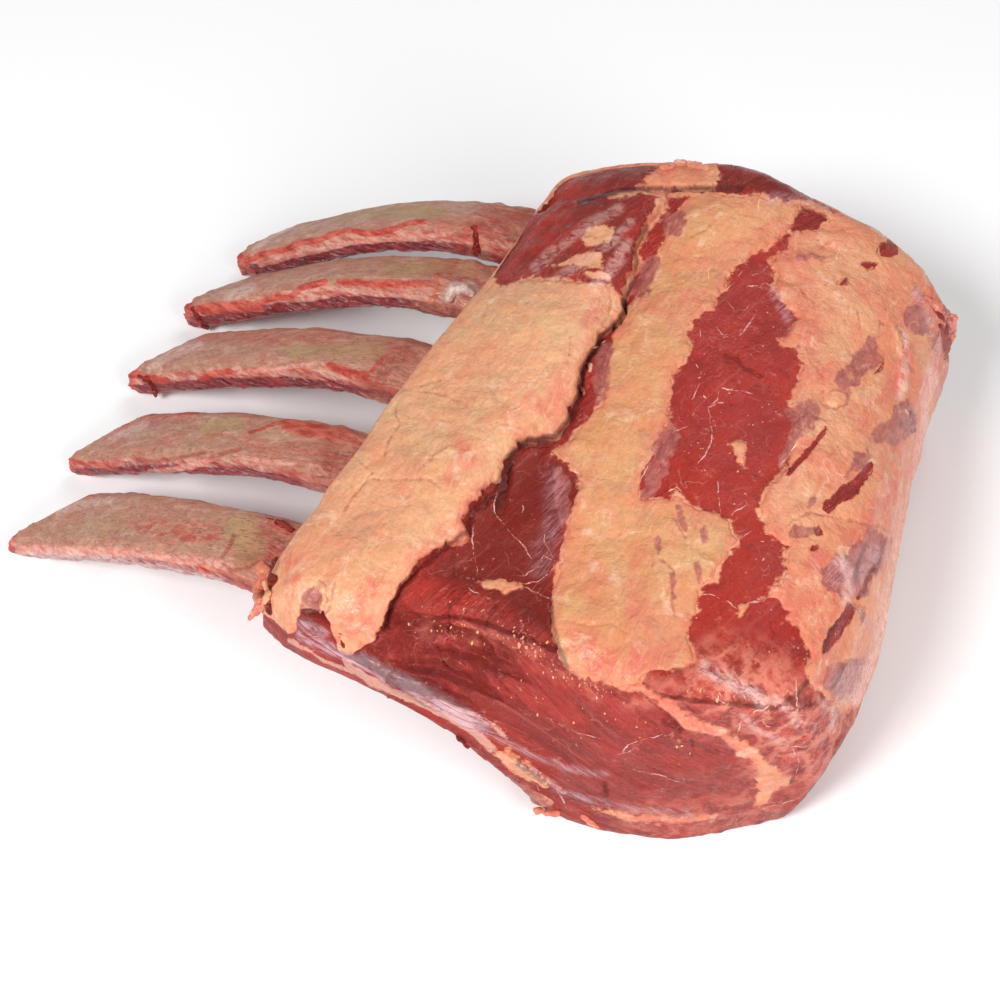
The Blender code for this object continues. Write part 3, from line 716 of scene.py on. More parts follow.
def set_value(piece, name, values):
    """Stores a number or a vector for each point, for the material to read."""
    kind = "FLOAT_VECTOR" if np.ndim(values) == 2 else "FLOAT"
    layer = piece.data.attributes.new(name, kind, "POINT")
    layer.data.foreach_set("vector" if kind == "FLOAT_VECTOR" else "value",
                           np.ascontiguousarray(values, dtype=np.float32).ravel())


def tree_of(data):
    """A mesh's faces, ready to be hit by rays."""
    return BVHTree.FromPolygons([v.co for v in data.vertices], [tuple(p.vertices) for p in data.polygons])


def facing(points, normals):
    """1 where a surface faces the camera, falling to 0 where it turns away."""
    way = EYE - points
    way = way / np.linalg.norm(way, axis=1)[:, None]
    return ease(0.0, SEEN_FULLY, np.sum(way * normals, axis=1))


def wandering(points):
    """Where points fall in the frame, pushed about a little, so that what is drawn isn't even."""
    push = [lumps(points, (1.0, 5, seed), (0.6, 2.1, seed + 1)) for seed in (301, 303)]
    return seen_at(points) + DRAWN_PUSH * np.stack(push, axis=1)


def stroked(at, strokes, sharp=False):
    """Strength of strokes at places in the frame; sharp ones fall off in a straight line."""
    total = np.zeros(len(at))
    for width, strength, line in strokes:
        points = np.array(line, float)
        reach = 4.0 * width if sharp else 2.0 * width
        near = np.all((at > points.min(0) - reach) & (at < points.max(0) + reach), axis=1)
        if near.any():
            distance = from_line(at[near], line)
            share = (1 - np.clip(distance / reach, 0, 1) if sharp
                     else 1 - ease(width * 0.3, width * 1.5, distance))
            total[near] = np.maximum(total[near], strength * share)
    return total


def creased(at):
    return stroked(at, STROKES["crease"], sharp=True)


def patched(at, kind, points):
    """How far places lie inside the patches of one look, in mm, with uneven edges."""
    best = np.full(len(at), -FAR)
    uneven = lumps(points, (1.0, 5, 31), (0.6, 2.2, 32))
    for soft, outline in PATCHES[kind]:
        line = np.array(outline, float)
        near = np.all((at > line.min(0) - PATCH_REACH) & (at < line.max(0) + PATCH_REACH), axis=1)
        if near.any():
            best[near] = np.maximum(best[near], inside_by(at[near], outline) + soft * uneven[near])
    return best


def on_view(value, seen, unseen=-FAR):
    """A value where the surface can be seen in the photo, and another where it can't."""
    return mixed(ease(0.0, SHOWN_FROM, seen), value, unseen)


def on_node(points, node):
    """About how far points lie inside the skin that a CAD node has, in mm; negative outside."""
    tree = tree_of(frame["nodes"][node].data)
    away = np.array([tree.find_nearest(Vector(p))[3] for p in points]) / MM
    return np.where(away < NODE_TOUCH, 1.0 + 3.0 * (NODE_TOUCH - away), 1.0 + NODE_TOUCH - away)


# ---------------------------------------------------------------- the roast's skin

SKIN_VOXEL = 1.8 * MM
GROWN = 0.45 * MM  # so that neighbours, modelled with air between them, become one
RIBS = tuple(f"rib_{number}" for number in range(1, 6))
RIB_STUB_X = -26 * MM  # inside the roast the ribs fill their channels
TOP_LOWERED = 1.4 * MM  # room for the layers of fat above the lean
FLAP_SOFTENED = 60  # rounds of smoothing under the flap's edge
FIBRE_SLOPE = math.radians(24)  # of the fibres at the near cut
VEIL_DEPTH = 6.0  # mm, the most that counts
LEAN_IN_FAT = -2.5  # turns depth inside a patch of lean into depth outside fat
LAYER_THICKNESS = 2.2 * MM
SUNK = 3.4  # mm that a layer's outline dips into the lean
NODULE = np.array([836, 400])  # middle of a round lump of fat, in pixels
INNER_SHARE = 0.5  # of the faces kept on the side of a layer of fat that lies on the lean
COARSE_SHARE = 0.27  # of the faces kept where the roast is covered or faces away


def make_skin():
    """The whole roast as one fine mesh, with the ribs' channels filled."""
    skin = copy_of_nodes("skin_base", ["meat", "fat_band", "back_fat", "seam_fat", "cap_flap"])
    stubs = copy_of_nodes("stubs", RIBS)
    in_edit_mode(stubs, lambda: bpy.ops.mesh.bisect(plane_co=(RIB_STUB_X, 0, 0), plane_no=(1, 0, 0),
                                                    clear_inner=True, use_fill=True))
    skin = joined([skin, stubs], "skin_base")
    apply_modifier(skin, "DISPLACE", strength=GROWN, mid_level=0.0)
    apply_modifier(skin, "REMESH", mode="VOXEL", voxel_size=SKIN_VOXEL)
    apply_modifier(skin, "SMOOTH", factor=0.5, iterations=6)
    points = places(skin) - outward(skin) * GROWN
    flap = inside_by(seen_at(points), FLAP)
    upper = ease(85, 95, points[:, 2] / MM)
    zone = upper * (1 - ease(16, 26, np.abs(flap - 2))) * (np.minimum(flap, 0) > -26)
    points = relaxed(points, edges_of(skin), zone, FLAP_SOFTENED)
    move_to(skin, points)
    normals = outward(skin)
    top = ease(0.3, 0.7, np.maximum(normals[:, 2], normals[:, 0])) * ease(20, 40, points[:, 2] / MM)
    move_to(skin, places(skin) - normals * (top * TOP_LOWERED)[:, None])
    return skin


def grain_of(points, normals):
    """Places along and across the fibres: stretched along them, so that a pattern streaks."""
    x, y, z = (points / MM).T
    bend = 2.4 * np.sin(x / 31.0 + 0.6) + 1.1 * np.sin(x / 13.0 + z / 17.0)
    level, steep = math.cos(FIBRE_SLOPE), math.sin(FIBRE_SLOPE)
    along_near = x * level - z * steep + 0.04 * y
    across_near = x * steep + z * level + 0.0016 * (x - 60) ** 2 + bend
    near = np.stack([along_near * 0.07, across_near, y * 0.6], axis=1)
    top = np.stack([(y + 0.35 * x) * 0.12, x - 0.35 * y, z * 0.7], axis=1)
    cut = 1 - ease(0.35, 0.75, normals[:, 2])
    return mixed(cut[:, None], near, top)


def layer_depth(at, points, outline, node, seen):
    """How far each point lies inside a layer, from its outline or, where unseen, its CAD node."""
    return mixed(seen, inside_by(at, outline), on_node(points, node))


def paint(piece, points, normals, fat, rim=0.0):
    """Stores all that the meat's material reads: fat is how far inside fat each point lies."""
    at, seen = wandering(points), facing(points, normals)
    under = ease(0.2, 0.7, -normals[:, 2])
    hidden = {"film": 0.7 * under, "blush": 0.35, "pale": 0.0, "shaded_crevice": 0.0,
              "marble": 0.5 * (1 - under) * (1 - seen), "tan": 0.0, "painted_highlight": 0.0}
    values = {kind: mixed(seen, stroked(at, STROKES[kind]), unseen) for kind, unseen in hidden.items()}
    values["blush"] = np.maximum(values["blush"], rim)
    values["crease"] = creased(at) * seen
    torn = lumps(points, (3.0, (26, 34, 22), 91)) - 1.6
    values["veil"] = np.clip(on_view(patched(at, "veil", points), seen, torn), -VEIL_DEPTH, VEIL_DEPTH)
    pocket = inside_by(at, POCKET)
    smooth = [ease(-8, 2, inside_by(at, WINDOW)), 0.7 * ease(-4, 2, pocket),
              0.2 * ease(-6, 3, inside_by(at, FAR_LEAN))]
    values["silk"] = np.max(smooth, axis=0) * seen
    # painted shade in the pocket and along its strokes
    values["painted_shade"] = np.maximum(ease(-3, 5, pocket), stroked(at, STROKES["painted_shade"])) * seen
    values["fat"] = np.clip(fat, -FAR, FAR)
    values["grain"] = grain_of(points, normals)
    for kind, value in values.items():
        set_value(piece, kind, value)


def bare_faces(piece, cover, floor):
    """Faces that are seen, less than cover inside a layer of fat and over the floor, both in mm."""
    points = places(piece)
    covered = inside_any(seen_at(points), (FLAP, BAND, BACK_FAT))
    seen = facing(points, outward(piece))
    return faces_touching(piece, (seen > 0.0) & (covered < cover) & (points[:, 2] > floor * MM))


def make_lean_body(skin):
    """The lean under and between the layers of fat, with its folds, cracks and fibres."""
    piece = new_object("lean_body", skin.data.copy())
    thin_out(piece, ~bare_faces(piece, 3.0, 4), COARSE_SHARE)
    on_faces(piece, bare_faces(piece, 2.0, 5), lambda: bpy.ops.mesh.subdivide(number_cuts=1))
    move_to(piece, relaxed(places(piece), edges_of(piece), np.ones(len(piece.data.vertices)), 2))
    points, normals = places(piece), outward(piece)
    at, seen = wandering(points), facing(points, normals)
    drawn = {kind: stroked(at, STROKES[kind]) * seen for kind in ("shaded_crevice", "tan", "film", "marble")}
    pocket, flap = inside_by(at, POCKET), inside_by(at, FLAP)
    seam = np.maximum(mixed(seen, inside_by(at, SEAM), -FAR),
                      mixed(seen, -FAR, on_node(points, "seam_fat")))
    seam = seam + lumps(points, (0.5, 4, 33), (0.3, 1.8, 34))
    fat = np.maximum(seam, on_view(patched(at, "fat", points), seen))
    side = 1 - ease(0.45, 0.8, normals[:, 2])
    silk = np.maximum(ease(-8, 2, inside_by(at, WINDOW)), 0.6 * ease(-4, 2, pocket)) * seen
    gully = (1 - ease(0, 8, -flap)) * (flap < 0) * ease(90, 100, points[:, 2] / MM)
    grain = grain_of(points, normals)
    streaks = waviness(grain, (3.4, 3.4, 8.0), 5) + 0.7 * waviness(grain, (1.5, 1.7, 5.0), 6)
    relief = (0.34 * streaks * (0.25 + 0.75 * side) * (1 - 0.8 * silk)
              + lumps(points, (0.6, 17, 7), (0.22, 6, 8), (0.10, 2.2, 12))
              + drawn["marble"] * lumps(points, (0.5, 4.5, 9), (0.5, 2.2, 10))
              - 2.4 * drawn["shaded_crevice"] - 3.0 * ease(-2, 9, pocket) * seen
              - 0.6 * ease(0.5, 0.9, creased(at)) * seen - 1.6 * gully * seen
              + 0.7 * ease(-0.6, 1.2, fat) + 0.8 * drawn["tan"] + 0.4 * drawn["film"])
    points = raised(points, normals, relief)
    move_to(piece, points)
    beside = inside_any(at, (BAND, BACK_FAT)) + 0.4 + lumps(points, (1.5, 8, 35), (0.9, 2.6, 36))
    fat = np.maximum(fat, mixed(seen, beside, -FAR))
    fat = np.minimum(fat, LEAN_IN_FAT * on_view(patched(at, "lean", points), seen))
    paint(piece, points, normals, fat)
    return piece


def make_layer(skin, name, outline, node, rise, rounded, uneven, seed, lip=0.0):
    """A layer of fat: a patch of the skin, finer, raised, rounded at its ragged edge and closed."""
    piece = new_object(name, skin.data.copy())
    points, normals = places(piece), outward(piece)
    depth = layer_depth(seen_at(points), points, outline, node, facing(points, normals))
    on_faces(piece, ~faces_touching(piece, depth > -3.0), delete_faces)
    away = 1 - facing(places(piece), outward(piece))
    thin_out(piece, faces_touching(piece, away > 0.99), COARSE_SHARE)
    apply_modifier(piece, "SUBSURF", levels=1, render_levels=1)
    points, normals = places(piece), outward(piece)
    at, seen = wandering(points), facing(points, normals)
    ragged = lumps(points, (0.7, 7, seed), (0.6, 3.0, seed + 1), (0.45, 1.5, seed + 2))
    depth = layer_depth(at, points, outline, node, seen) + uneven * ragged
    lean = on_view(patched(at, "lean", points), seen)
    nodule = 1 - ease(8, 13, np.hypot(*((at - NODULE) * (1.0, 1.5)).T))
    lobes = lumps(points, (0.8, 13, seed + 3), (0.45, 5.5, seed + 4), (0.18, 2.4, seed + 5))
    inner = np.clip(depth / rounded, 0.0, 1.0)
    height = (rise * np.sqrt(1 - (1 - inner) ** 2) - SUNK * np.clip(-depth / 0.9, 0.0, 1.0)
              + lip * (ease(0, 3.0, depth) - ease(5, 22, depth)) * ease(480, 400, at[:, 1])
              + ease(0.3, 3, depth) * (lobes * (1 - 0.7 * ease(-1, 1, lean))
                                       - 0.42 * ease(0.5, 0.9, creased(at)) * seen
                                       - 0.75 * ease(-0.4, 0.7, lean)
                                       + 0.6 * stroked(at, STROKES["pale"]) * seen)
              + 1.3 * nodule * seen)
    points = raised(points, normals, height)
    move_to(piece, points)
    fat = np.full(len(points), FAR)
    if outline is FLAP:
        fat = np.maximum(mixed(seen, -inside_by(at, FAR_LEAN), FAR),
                         on_view(patched(at, "fat", points), seen))
    fat = np.min([fat, LEAN_IN_FAT * lean, FAR * ease(-1.2, 0.4, depth) - 2], axis=0)
    paint(piece, points, normals, fat, 0.55 * (1 - ease(0.5, 6, depth)))
    outer = len(piece.data.polygons)
    apply_modifier(piece, "SOLIDIFY", thickness=LAYER_THICKNESS, offset=-1.0)
    number = np.arange(len(piece.data.polygons))
    thin_out(piece, (number >= outer) & (number < 2 * outer), INNER_SHARE)
    return piece


# ---------------------------------------------------------------- nodes

FAT_COLOURS = {"grey": (0.50, 0.23, 0.14), "pink": (0.66, 0.155, 0.105), "vein": (0.50, 0.15, 0.085),
               # of these, the wet colour is a painted highlight
               "thread": (0.88, 0.62, 0.44), "wet": (0.86, 0.58, 0.42), "pore": (0.50, 0.19, 0.095)}
LEAN_COLOURS = {"red": (0.315, 0.026, 0.020), "warm": (0.37, 0.026, 0.016), "dark": (0.20, 0.016, 0.013),
                # the darkest, browner red of these is painted shade
                "bright": (0.50, 0.062, 0.046), "hair": (0.58, 0.19, 0.16), "painted_shade": (0.155, 0.017, 0.012),
                "web": (0.62, 0.25, 0.21), "milky": (0.55, 0.17, 0.145), "fleck": (0.80, 0.45, 0.32),
                # the first colour below is the marbling's brighter red and, in the near corner, painted
                # light
                "marbled_and_lit": (0.58, 0.088, 0.060), "marbling": (0.78, 0.26, 0.18)}
# The film's light and shade are painted: the first colour is its shaded wrinkles, the second its lit ones.
SKIN_COLOURS = {"film_shaded": (0.34, 0.13, 0.145), "film_lit": (0.68, 0.42, 0.46), "purple": (0.28, 0.060, 0.056),
                "rosy": (0.45, 0.135, 0.115), "milky": (0.72, 0.40, 0.34), "pink": (0.50, 0.15, 0.115),
                # the last colour of these is a painted highlight
                "tan": (0.66, 0.33, 0.25), "painted_highlight": (0.93, 0.60, 0.54)}
# Dark colours painted into creases as their shade, redder in fat.
CREASE_SHADE_IN_LEAN = (0.11, 0.012, 0.010)
CREASE_SHADE_IN_FAT = (0.44, 0.13, 0.075)
# painted shade for crevices
PAINTED_CREVICE_SHADE = (0.085, 0.012, 0.010)
RAGGED_MM = 4.0  # of wander in a ragged edge


def put(tree, kind, inputs=(), **settings):
    """Adds a node: a socket given as an input is linked, anything else is its value."""
    node = tree.nodes.new(kind)
    for name, value in settings.items():
        setattr(node, name, value)
    for name, value in dict(inputs).items():
        if isinstance(value, bpy.types.NodeSocket):
            tree.links.new(value, node.inputs[name])
        elif node.inputs[name].type == "RGBA":
            node.inputs[name].default_value = (*value, 1.0)
        else:
            node.inputs[name].default_value = value
    return node


def speckle(tree, where, scale, detail=2.0, rough=0.5, distortion=0.0):
    """Noise from 0 to 1."""
    return put(tree, "ShaderNodeTexNoise", {"Vector": where, "Scale": scale, "Detail": detail,
                                            "Roughness": rough, "Distortion": distortion}).outputs[0]


def between(tree, value, low, high, start=0.0, end=1.0):
    """Start at low, end at high, and an easy curve between."""
    return put(tree, "ShaderNodeMapRange", {0: value, 1: low, 2: high, 3: start, 4: end},
               interpolation_type="SMOOTHSTEP").outputs[0]


def maths(tree, kind, *values):
    return put(tree, "ShaderNodeMath", enumerate(values), operation=kind).outputs[0]


def times(tree, first, *others):
    for other in others:
        first = maths(tree, "MULTIPLY", first, other)
    return first


def total(tree, *parts):
    """The sum of values, each given with its amount."""
    value = 0.0
    for part, amount in parts:
        value = maths(tree, "MULTIPLY_ADD", part, amount, value)
    return value


def colour_mix(tree, share, a, b):
    return put(tree, "ShaderNodeMix", {0: share, 6: a, 7: b}, data_type="RGBA").outputs[2]


def coated(tree, colour, *coats):
    """A colour with others laid over it one by one, each given with its share."""
    for share, coat in coats:
        colour = colour_mix(tree, share, colour, coat)
    return colour


def stretched(tree, where, scale, turn=(0.0, 0.0, 0.0)):
    return put(tree, "ShaderNodeMapping", {"Vector": where, "Scale": scale, "Rotation": turn}).outputs[0]


def swing(tree, *noise):
    """Noise from -0.5 to 0.5."""
    return maths(tree, "SUBTRACT", speckle(tree, *noise), 0.5)


def lines(tree, where, scale, width, *noise):
    """Thin wandering lines: 1 on them and 0 beside."""
    off = maths(tree, "ABSOLUTE", swing(tree, where, scale, *noise))
    return between(tree, off, 0.0, width, 1.0, 0.0)


def cells(tree, where, scale, feature="F1"):
    """Distance from the middles of scattered cells, or from their edges."""
    return put(tree, "ShaderNodeTexVoronoi", {"Vector": where, "Scale": scale},
               feature=feature).outputs["Distance"]


def painted(tree, name, output="Fac"):
    """A value stored on the mesh."""
    return put(tree, "ShaderNodeAttribute", attribute_name=name).outputs[output]


def new_group(name, inputs, outputs):
    """An empty node group with its sockets: (tree, input sockets, output sockets)."""
    tree = bpy.data.node_groups.new(name, "ShaderNodeTree")
    for side, sockets in (("INPUT", inputs), ("OUTPUT", outputs)):
        for socket, kind in sockets.items():
            tree.interface.new_socket(socket, in_out=side, socket_type="NodeSocket" + kind)
    return tree, tree.nodes.new("NodeGroupInput").outputs, tree.nodes.new("NodeGroupOutput").inputs


def finish_group(tree, result, **values):
    for name, value in values.items():
        tree.links.new(value, result[name])
    return tree


def use(tree, group, inputs):
    return put(tree, "ShaderNodeGroup", inputs, node_tree=group).outputs


def fat_group():
    """Raw fat: cream in lobes, warmer and pinker between, with fine veins, threads, pores and patches of
    painted highlight.
    """
    tree, given, result = new_group(
        "fat_mottle", {"Place": "Vector", "Cream": "Color", "Warm": "Color", "Pale": "Color",
                       "Blush": "Float", "Paleness": "Float"}, {"Colour": "Color", "Height": "Float"})
    place = given["Place"]
    broad = speckle(tree, place, 32.0, 3.0, 0.55, 0.3)
    middle = speckle(tree, place, 115.0, 3.0, 0.6, 0.6)
    fine = speckle(tree, place, 560.0, 3.0, 0.6)
    murky = speckle(tree, place, 58.0, 4.0, 0.65, 0.8)
    wisps = speckle(tree, stretched(tree, place, (1.0, 0.4, 0.7), (0.0, 0.0, 0.5)), 190.0, 4.0, 0.68,
                    1.2)
    threads = speckle(tree, stretched(tree, place, (1.0, 0.09, 0.5), (0.0, 0.0, -0.5)), 900.0, 3.0)
    wet = speckle(tree, place, 75.0, 4.0, 0.7, 1.0)
    yellow = maths(tree, "MAXIMUM",
                   times(tree, given["Paleness"], between(tree, middle, 0.25, 0.6, 1.0, 0.5)),
                   between(tree, broad, 0.28, 0.44, 0.55, 0.0))
    pink = maths(tree, "ADD", times(tree, given["Blush"], between(tree, wisps, 0.30, 0.56)),
                 times(tree, between(tree, wisps, 0.46, 0.72, 0.0, 0.50),
                       between(tree, broad, 0.38, 0.60, 0.25, 1.0)))
    some = between(tree, speckle(tree, place, 50.0), 0.46, 0.62)
    veins = times(tree, lines(tree, place, 62.0, 0.014, 3.0, 0.55, 0.7), some)
    small_veins = times(tree, lines(tree, place, 170.0, 0.022, 3.0, 0.6, 0.5), some, 0.6)
    colour = coated(
        tree, given["Cream"],
        (between(tree, broad, 0.40, 0.66), given["Warm"]),
        (between(tree, middle, 0.44, 0.66, 0.0, 0.6), given["Warm"]),
        (between(tree, middle, 0.42, 0.26, 0.0, 0.5), given["Pale"]),
        (yellow, given["Pale"]),
        (between(tree, murky, 0.54, 0.70, 0.0, 0.55), FAT_COLOURS["grey"]),
        (pink, FAT_COLOURS["pink"]),
        (times(tree, maths(tree, "MAXIMUM", veins, small_veins), 0.28), FAT_COLOURS["vein"]),
        (between(tree, threads, 0.58, 0.76, 0.0, 0.20), FAT_COLOURS["thread"]),
        # lighter patches at random: a painted wet highlight
        (between(tree, wet, 0.54, 0.70, 0.0, 0.5), FAT_COLOURS["wet"]),
        (between(tree, fine, 0.34, 0.60, 0.28, 0.0), FAT_COLOURS["pore"]))
    height = total(tree, (fine, 0.20), (middle, 0.9), (wisps, 0.40))
    return finish_group(tree, result, Colour=colour, Height=height)


def muscle_group():
    """Lean muscle: fibres that streak along Grain, calmer where Silk asks, with marbling and painted
    shade.
    """
    tree, given, result = new_group(
        "muscle_fibre", {"Place": "Vector", "Grain": "Vector", "Marbling": "Float", "Silk": "Float",
                         "Painted_Shade": "Float"}, {"Colour": "Color", "Height": "Float"})
    place, grain, marbling = given["Place"], given["Grain"], given["Marbling"]
    fibrous = maths(tree, "MULTIPLY_ADD", given["Silk"], -0.82, 1.0)
    bundles = speckle(tree, grain, 0.20, 3.0, 0.6, 0.35)
    strands = speckle(tree, grain, 0.80, 3.0, 0.65, 0.3)
    hairs = speckle(tree, grain, 2.6, 2.0, 0.6)
    patchy = speckle(tree, place, 26.0, 3.0, 0.55)
    cloudy = speckle(tree, place, 120.0, 3.0, 0.6, 0.4)
    milky = speckle(tree, stretched(tree, grain, (0.6, 1.0, 1.0)), 0.34, 4.0, 0.6, 0.6)
    some = between(tree, speckle(tree, place, 62.0, 3.0, 0.6), 0.46, 0.60)
    webs = times(tree, lines(tree, place, 85.0, 0.010, 2.0, 0.5, 0.3), some)
    sparse = between(tree, speckle(tree, place, 110.0), 0.60, 0.66)
    flecks = times(tree, between(tree, cells(tree, place, 330.0), 0.07, 0.16, 0.85, 0.0), sparse)
    wander = put(tree, "ShaderNodeTexNoise", {"Vector": place, "Scale": 120.0, "Detail": 3.0}).outputs[1]
    pushed = put(tree, "ShaderNodeVectorMath", {0: wander, 1: (0.016, 0.016, 0.016), 2: place},
                 operation="MULTIPLY_ADD").outputs[0]
    islands = cells(tree, pushed, 62.0, "DISTANCE_TO_EDGE")
    small_islands = cells(tree, pushed, 210.0, "DISTANCE_TO_EDGE")
    broken = between(tree, speckle(tree, place, 120.0, 4.0, 0.7), 0.36, 0.56)
    fat_veins = maths(tree, "MAXIMUM", between(tree, islands, 0.02, 0.20, 1.0, 0.0),
                      times(tree, between(tree, small_islands, 0.02, 0.16, 0.45, 0.0), broken))
    fat_veins = times(tree, fat_veins, between(tree, broken, 0.1, 0.7, 0.15, 1.0), marbling)
    colour = coated(
        tree, LEAN_COLOURS["red"],
        (between(tree, patchy, 0.36, 0.64), LEAN_COLOURS["warm"]),
        (times(tree, between(tree, bundles, 0.56, 0.36), fibrous, 0.8), LEAN_COLOURS["dark"]),
        (times(tree, between(tree, strands, 0.52, 0.74), fibrous, 0.7), LEAN_COLOURS["bright"]),
        (times(tree, between(tree, strands, 0.44, 0.30), fibrous, 0.75), LEAN_COLOURS["dark"]),
        (times(tree, between(tree, hairs, 0.60, 0.78), fibrous, 0.42), LEAN_COLOURS["hair"]),
        (between(tree, cloudy, 0.50, 0.72, 0.0, 0.22), LEAN_COLOURS["bright"]),
        (between(tree, cloudy, 0.46, 0.30, 0.0, 0.5), LEAN_COLOURS["dark"]),
        (between(tree, patchy, 0.46, 0.30, 0.0, 0.45), LEAN_COLOURS["dark"]),
        # darker, browner lean painted as shade
        (times(tree, given["Painted_Shade"], 0.8), LEAN_COLOURS["painted_shade"]),
        (times(tree, webs, 0.42), LEAN_COLOURS["web"]),
        (between(tree, milky, 0.54, 0.74, 0.0, 0.20), LEAN_COLOURS["milky"]),
        (flecks, LEAN_COLOURS["fleck"]),
        # brighter red where marbled: partly the marbling, partly painted light on the strongly lit near
        # corner
        (times(tree, marbling, between(tree, cloudy, 0.40, 0.66, 0.1, 0.85)), LEAN_COLOURS["marbled_and_lit"]),
        (times(tree, fat_veins, 0.72), LEAN_COLOURS["marbling"]))
    fibres = times(tree, total(tree, (bundles, 0.6), (strands, 0.8), (hairs, 0.26)), fibrous)
    height = maths(tree, "MULTIPLY_ADD", cloudy, 0.45, fibres)
    return finish_group(tree, result, Colour=colour, Height=height)


def film_group():
    """Silverskin: a lavender-white veil in long wrinkles, painted lit and shaded, where Amount asks for
    it.
    """
    tree, given, result = new_group(
        "film_veil", {"Grain": "Vector", "Place": "Vector", "Amount": "Float"},
        {"Veil": "Float", "Colour": "Color", "Height": "Float"})
    folds = speckle(tree, given["Grain"], 0.6, 3.0, 0.65, 0.8)
    cloud = speckle(tree, given["Place"], 160.0, 4.0, 0.65, 0.5)
    patchy = maths(tree, "ADD", between(tree, folds, 0.32, 0.60, 0.15, 0.85),
                   between(tree, cloud, 0.35, 0.70, -0.15, 0.30))
    veil = times(tree, given["Amount"], patchy)
    lit = maths(tree, "MULTIPLY_ADD", given["Amount"], 0.22, folds)
    # the wrinkles' light and shade are painted: the lit colour where folds and Amount rise, the shaded one
    # between
    colour = colour_mix(tree, between(tree, lit, 0.44, 0.70), SKIN_COLOURS["film_shaded"],
                        SKIN_COLOURS["film_lit"])
    return finish_group(tree, result, Veil=maths(tree, "MINIMUM", veil, 0.92), Colour=colour,
                        Height=times(tree, folds, veil))


def membrane_group():
    """A thin purple skin over fat: 1 where Inside is over 0, thin and torn here and there."""
    tree, given, result = new_group("membrane", {"Place": "Vector", "Inside": "Float"},
                                    {"Mask": "Float", "Colour": "Color"})
    place = given["Place"]
    wander = speckle(tree, place, 200.0, 4.0, 0.68, 0.5)
    inside = maths(tree, "MULTIPLY_ADD", maths(tree, "SUBTRACT", wander, 0.5), RAGGED_MM,
                   given["Inside"])
    mask = between(tree, inside, -0.6, 0.8, 0.0, 0.86)
    pulled = speckle(tree, stretched(tree, place, (1.0, 0.45, 0.6), (0.0, 0.0, -0.4)), 260.0, 4.0, 0.7,
                     1.0)
    colour = coated(
        tree, SKIN_COLOURS["purple"],
        (between(tree, pulled, 0.36, 0.62), SKIN_COLOURS["rosy"]),
        (between(tree, pulled, 0.56, 0.72, 0.0, 0.5), SKIN_COLOURS["milky"]),
        (between(tree, speckle(tree, place, 60.0, 3.0), 0.50, 0.66, 0.0, 0.5), SKIN_COLOURS["pink"]))
    torn = times(tree, mask, between(tree, wander, 0.28, 0.46, 0.45, 1.0))
    return finish_group(tree, result, Mask=torn, Colour=colour)


def ragged_group():
    """1 where Inside, in mm, is over 0, with an edge that wanders by Reach."""
    tree, given, result = new_group("ragged_edge", {"Place": "Vector", "Inside": "Float",
                                                    "Reach": "Float", "Soft": "Float"},
                                    {"Mask": "Float"})
    wander = times(tree, swing(tree, given["Place"], 240.0, 4.0, 0.72, 0.4), given["Reach"])
    inside = maths(tree, "MULTIPLY_ADD", wander, RAGGED_MM, given["Inside"])
    low = times(tree, given["Soft"], -1.0)
    return finish_group(tree, result, Mask=between(tree, inside, low, given["Soft"]))


def wet_group():
    """Roughness of a wet cut surface: glossy in patches, duller between."""
    tree, given, result = new_group("wetness", {"Place": "Vector", "Dull": "Float", "Glossy": "Float"},
                                    {"Roughness": "Float", "Pebbles": "Float"})
    share = between(tree, speckle(tree, given["Place"], 90.0, 3.0, 0.6), 0.40, 0.62)
    span = maths(tree, "SUBTRACT", given["Glossy"], given["Dull"])
    return finish_group(tree, result,
                        Roughness=maths(tree, "MULTIPLY_ADD", span, share, given["Dull"]),
                        Pebbles=speckle(tree, given["Place"], 620.0, 3.0, 0.6))


def new_material(name):
    """A new material: (material, tree, shader, places on the object)."""
    material = bpy.data.materials.new(name)
    material.use_nodes = True
    tree = material.node_tree
    return material, tree, tree.nodes["Principled BSDF"], put(tree, "ShaderNodeTexCoord").outputs["Object"]


def surface(tree, shader, colour, height, rough, bump, reach, shine=0.4):
    """Joins the finished colour, height and roughness to the shader."""
    tree.links.new(colour, shader.inputs["Base Color"])
    tree.links.new(rough, shader.inputs["Roughness"])
    bumped = put(tree, "ShaderNodeBump", {"Height": height, "Strength": bump, "Distance": reach})
    tree.links.new(bumped.outputs[0], shader.inputs["Normal"])
    shader.inputs["Specular IOR Level"].default_value = shine
    shader.inputs["Metallic"].default_value = 0.0


def masked(tree, groups, place, value, middle, reach, soft):
    """A ragged mask where a painted value is over its middle."""
    return use(tree, groups["ragged"], {"Place": place, "Inside": maths(tree, "SUBTRACT", value, middle),
                                        "Reach": reach, "Soft": soft})["Mask"]


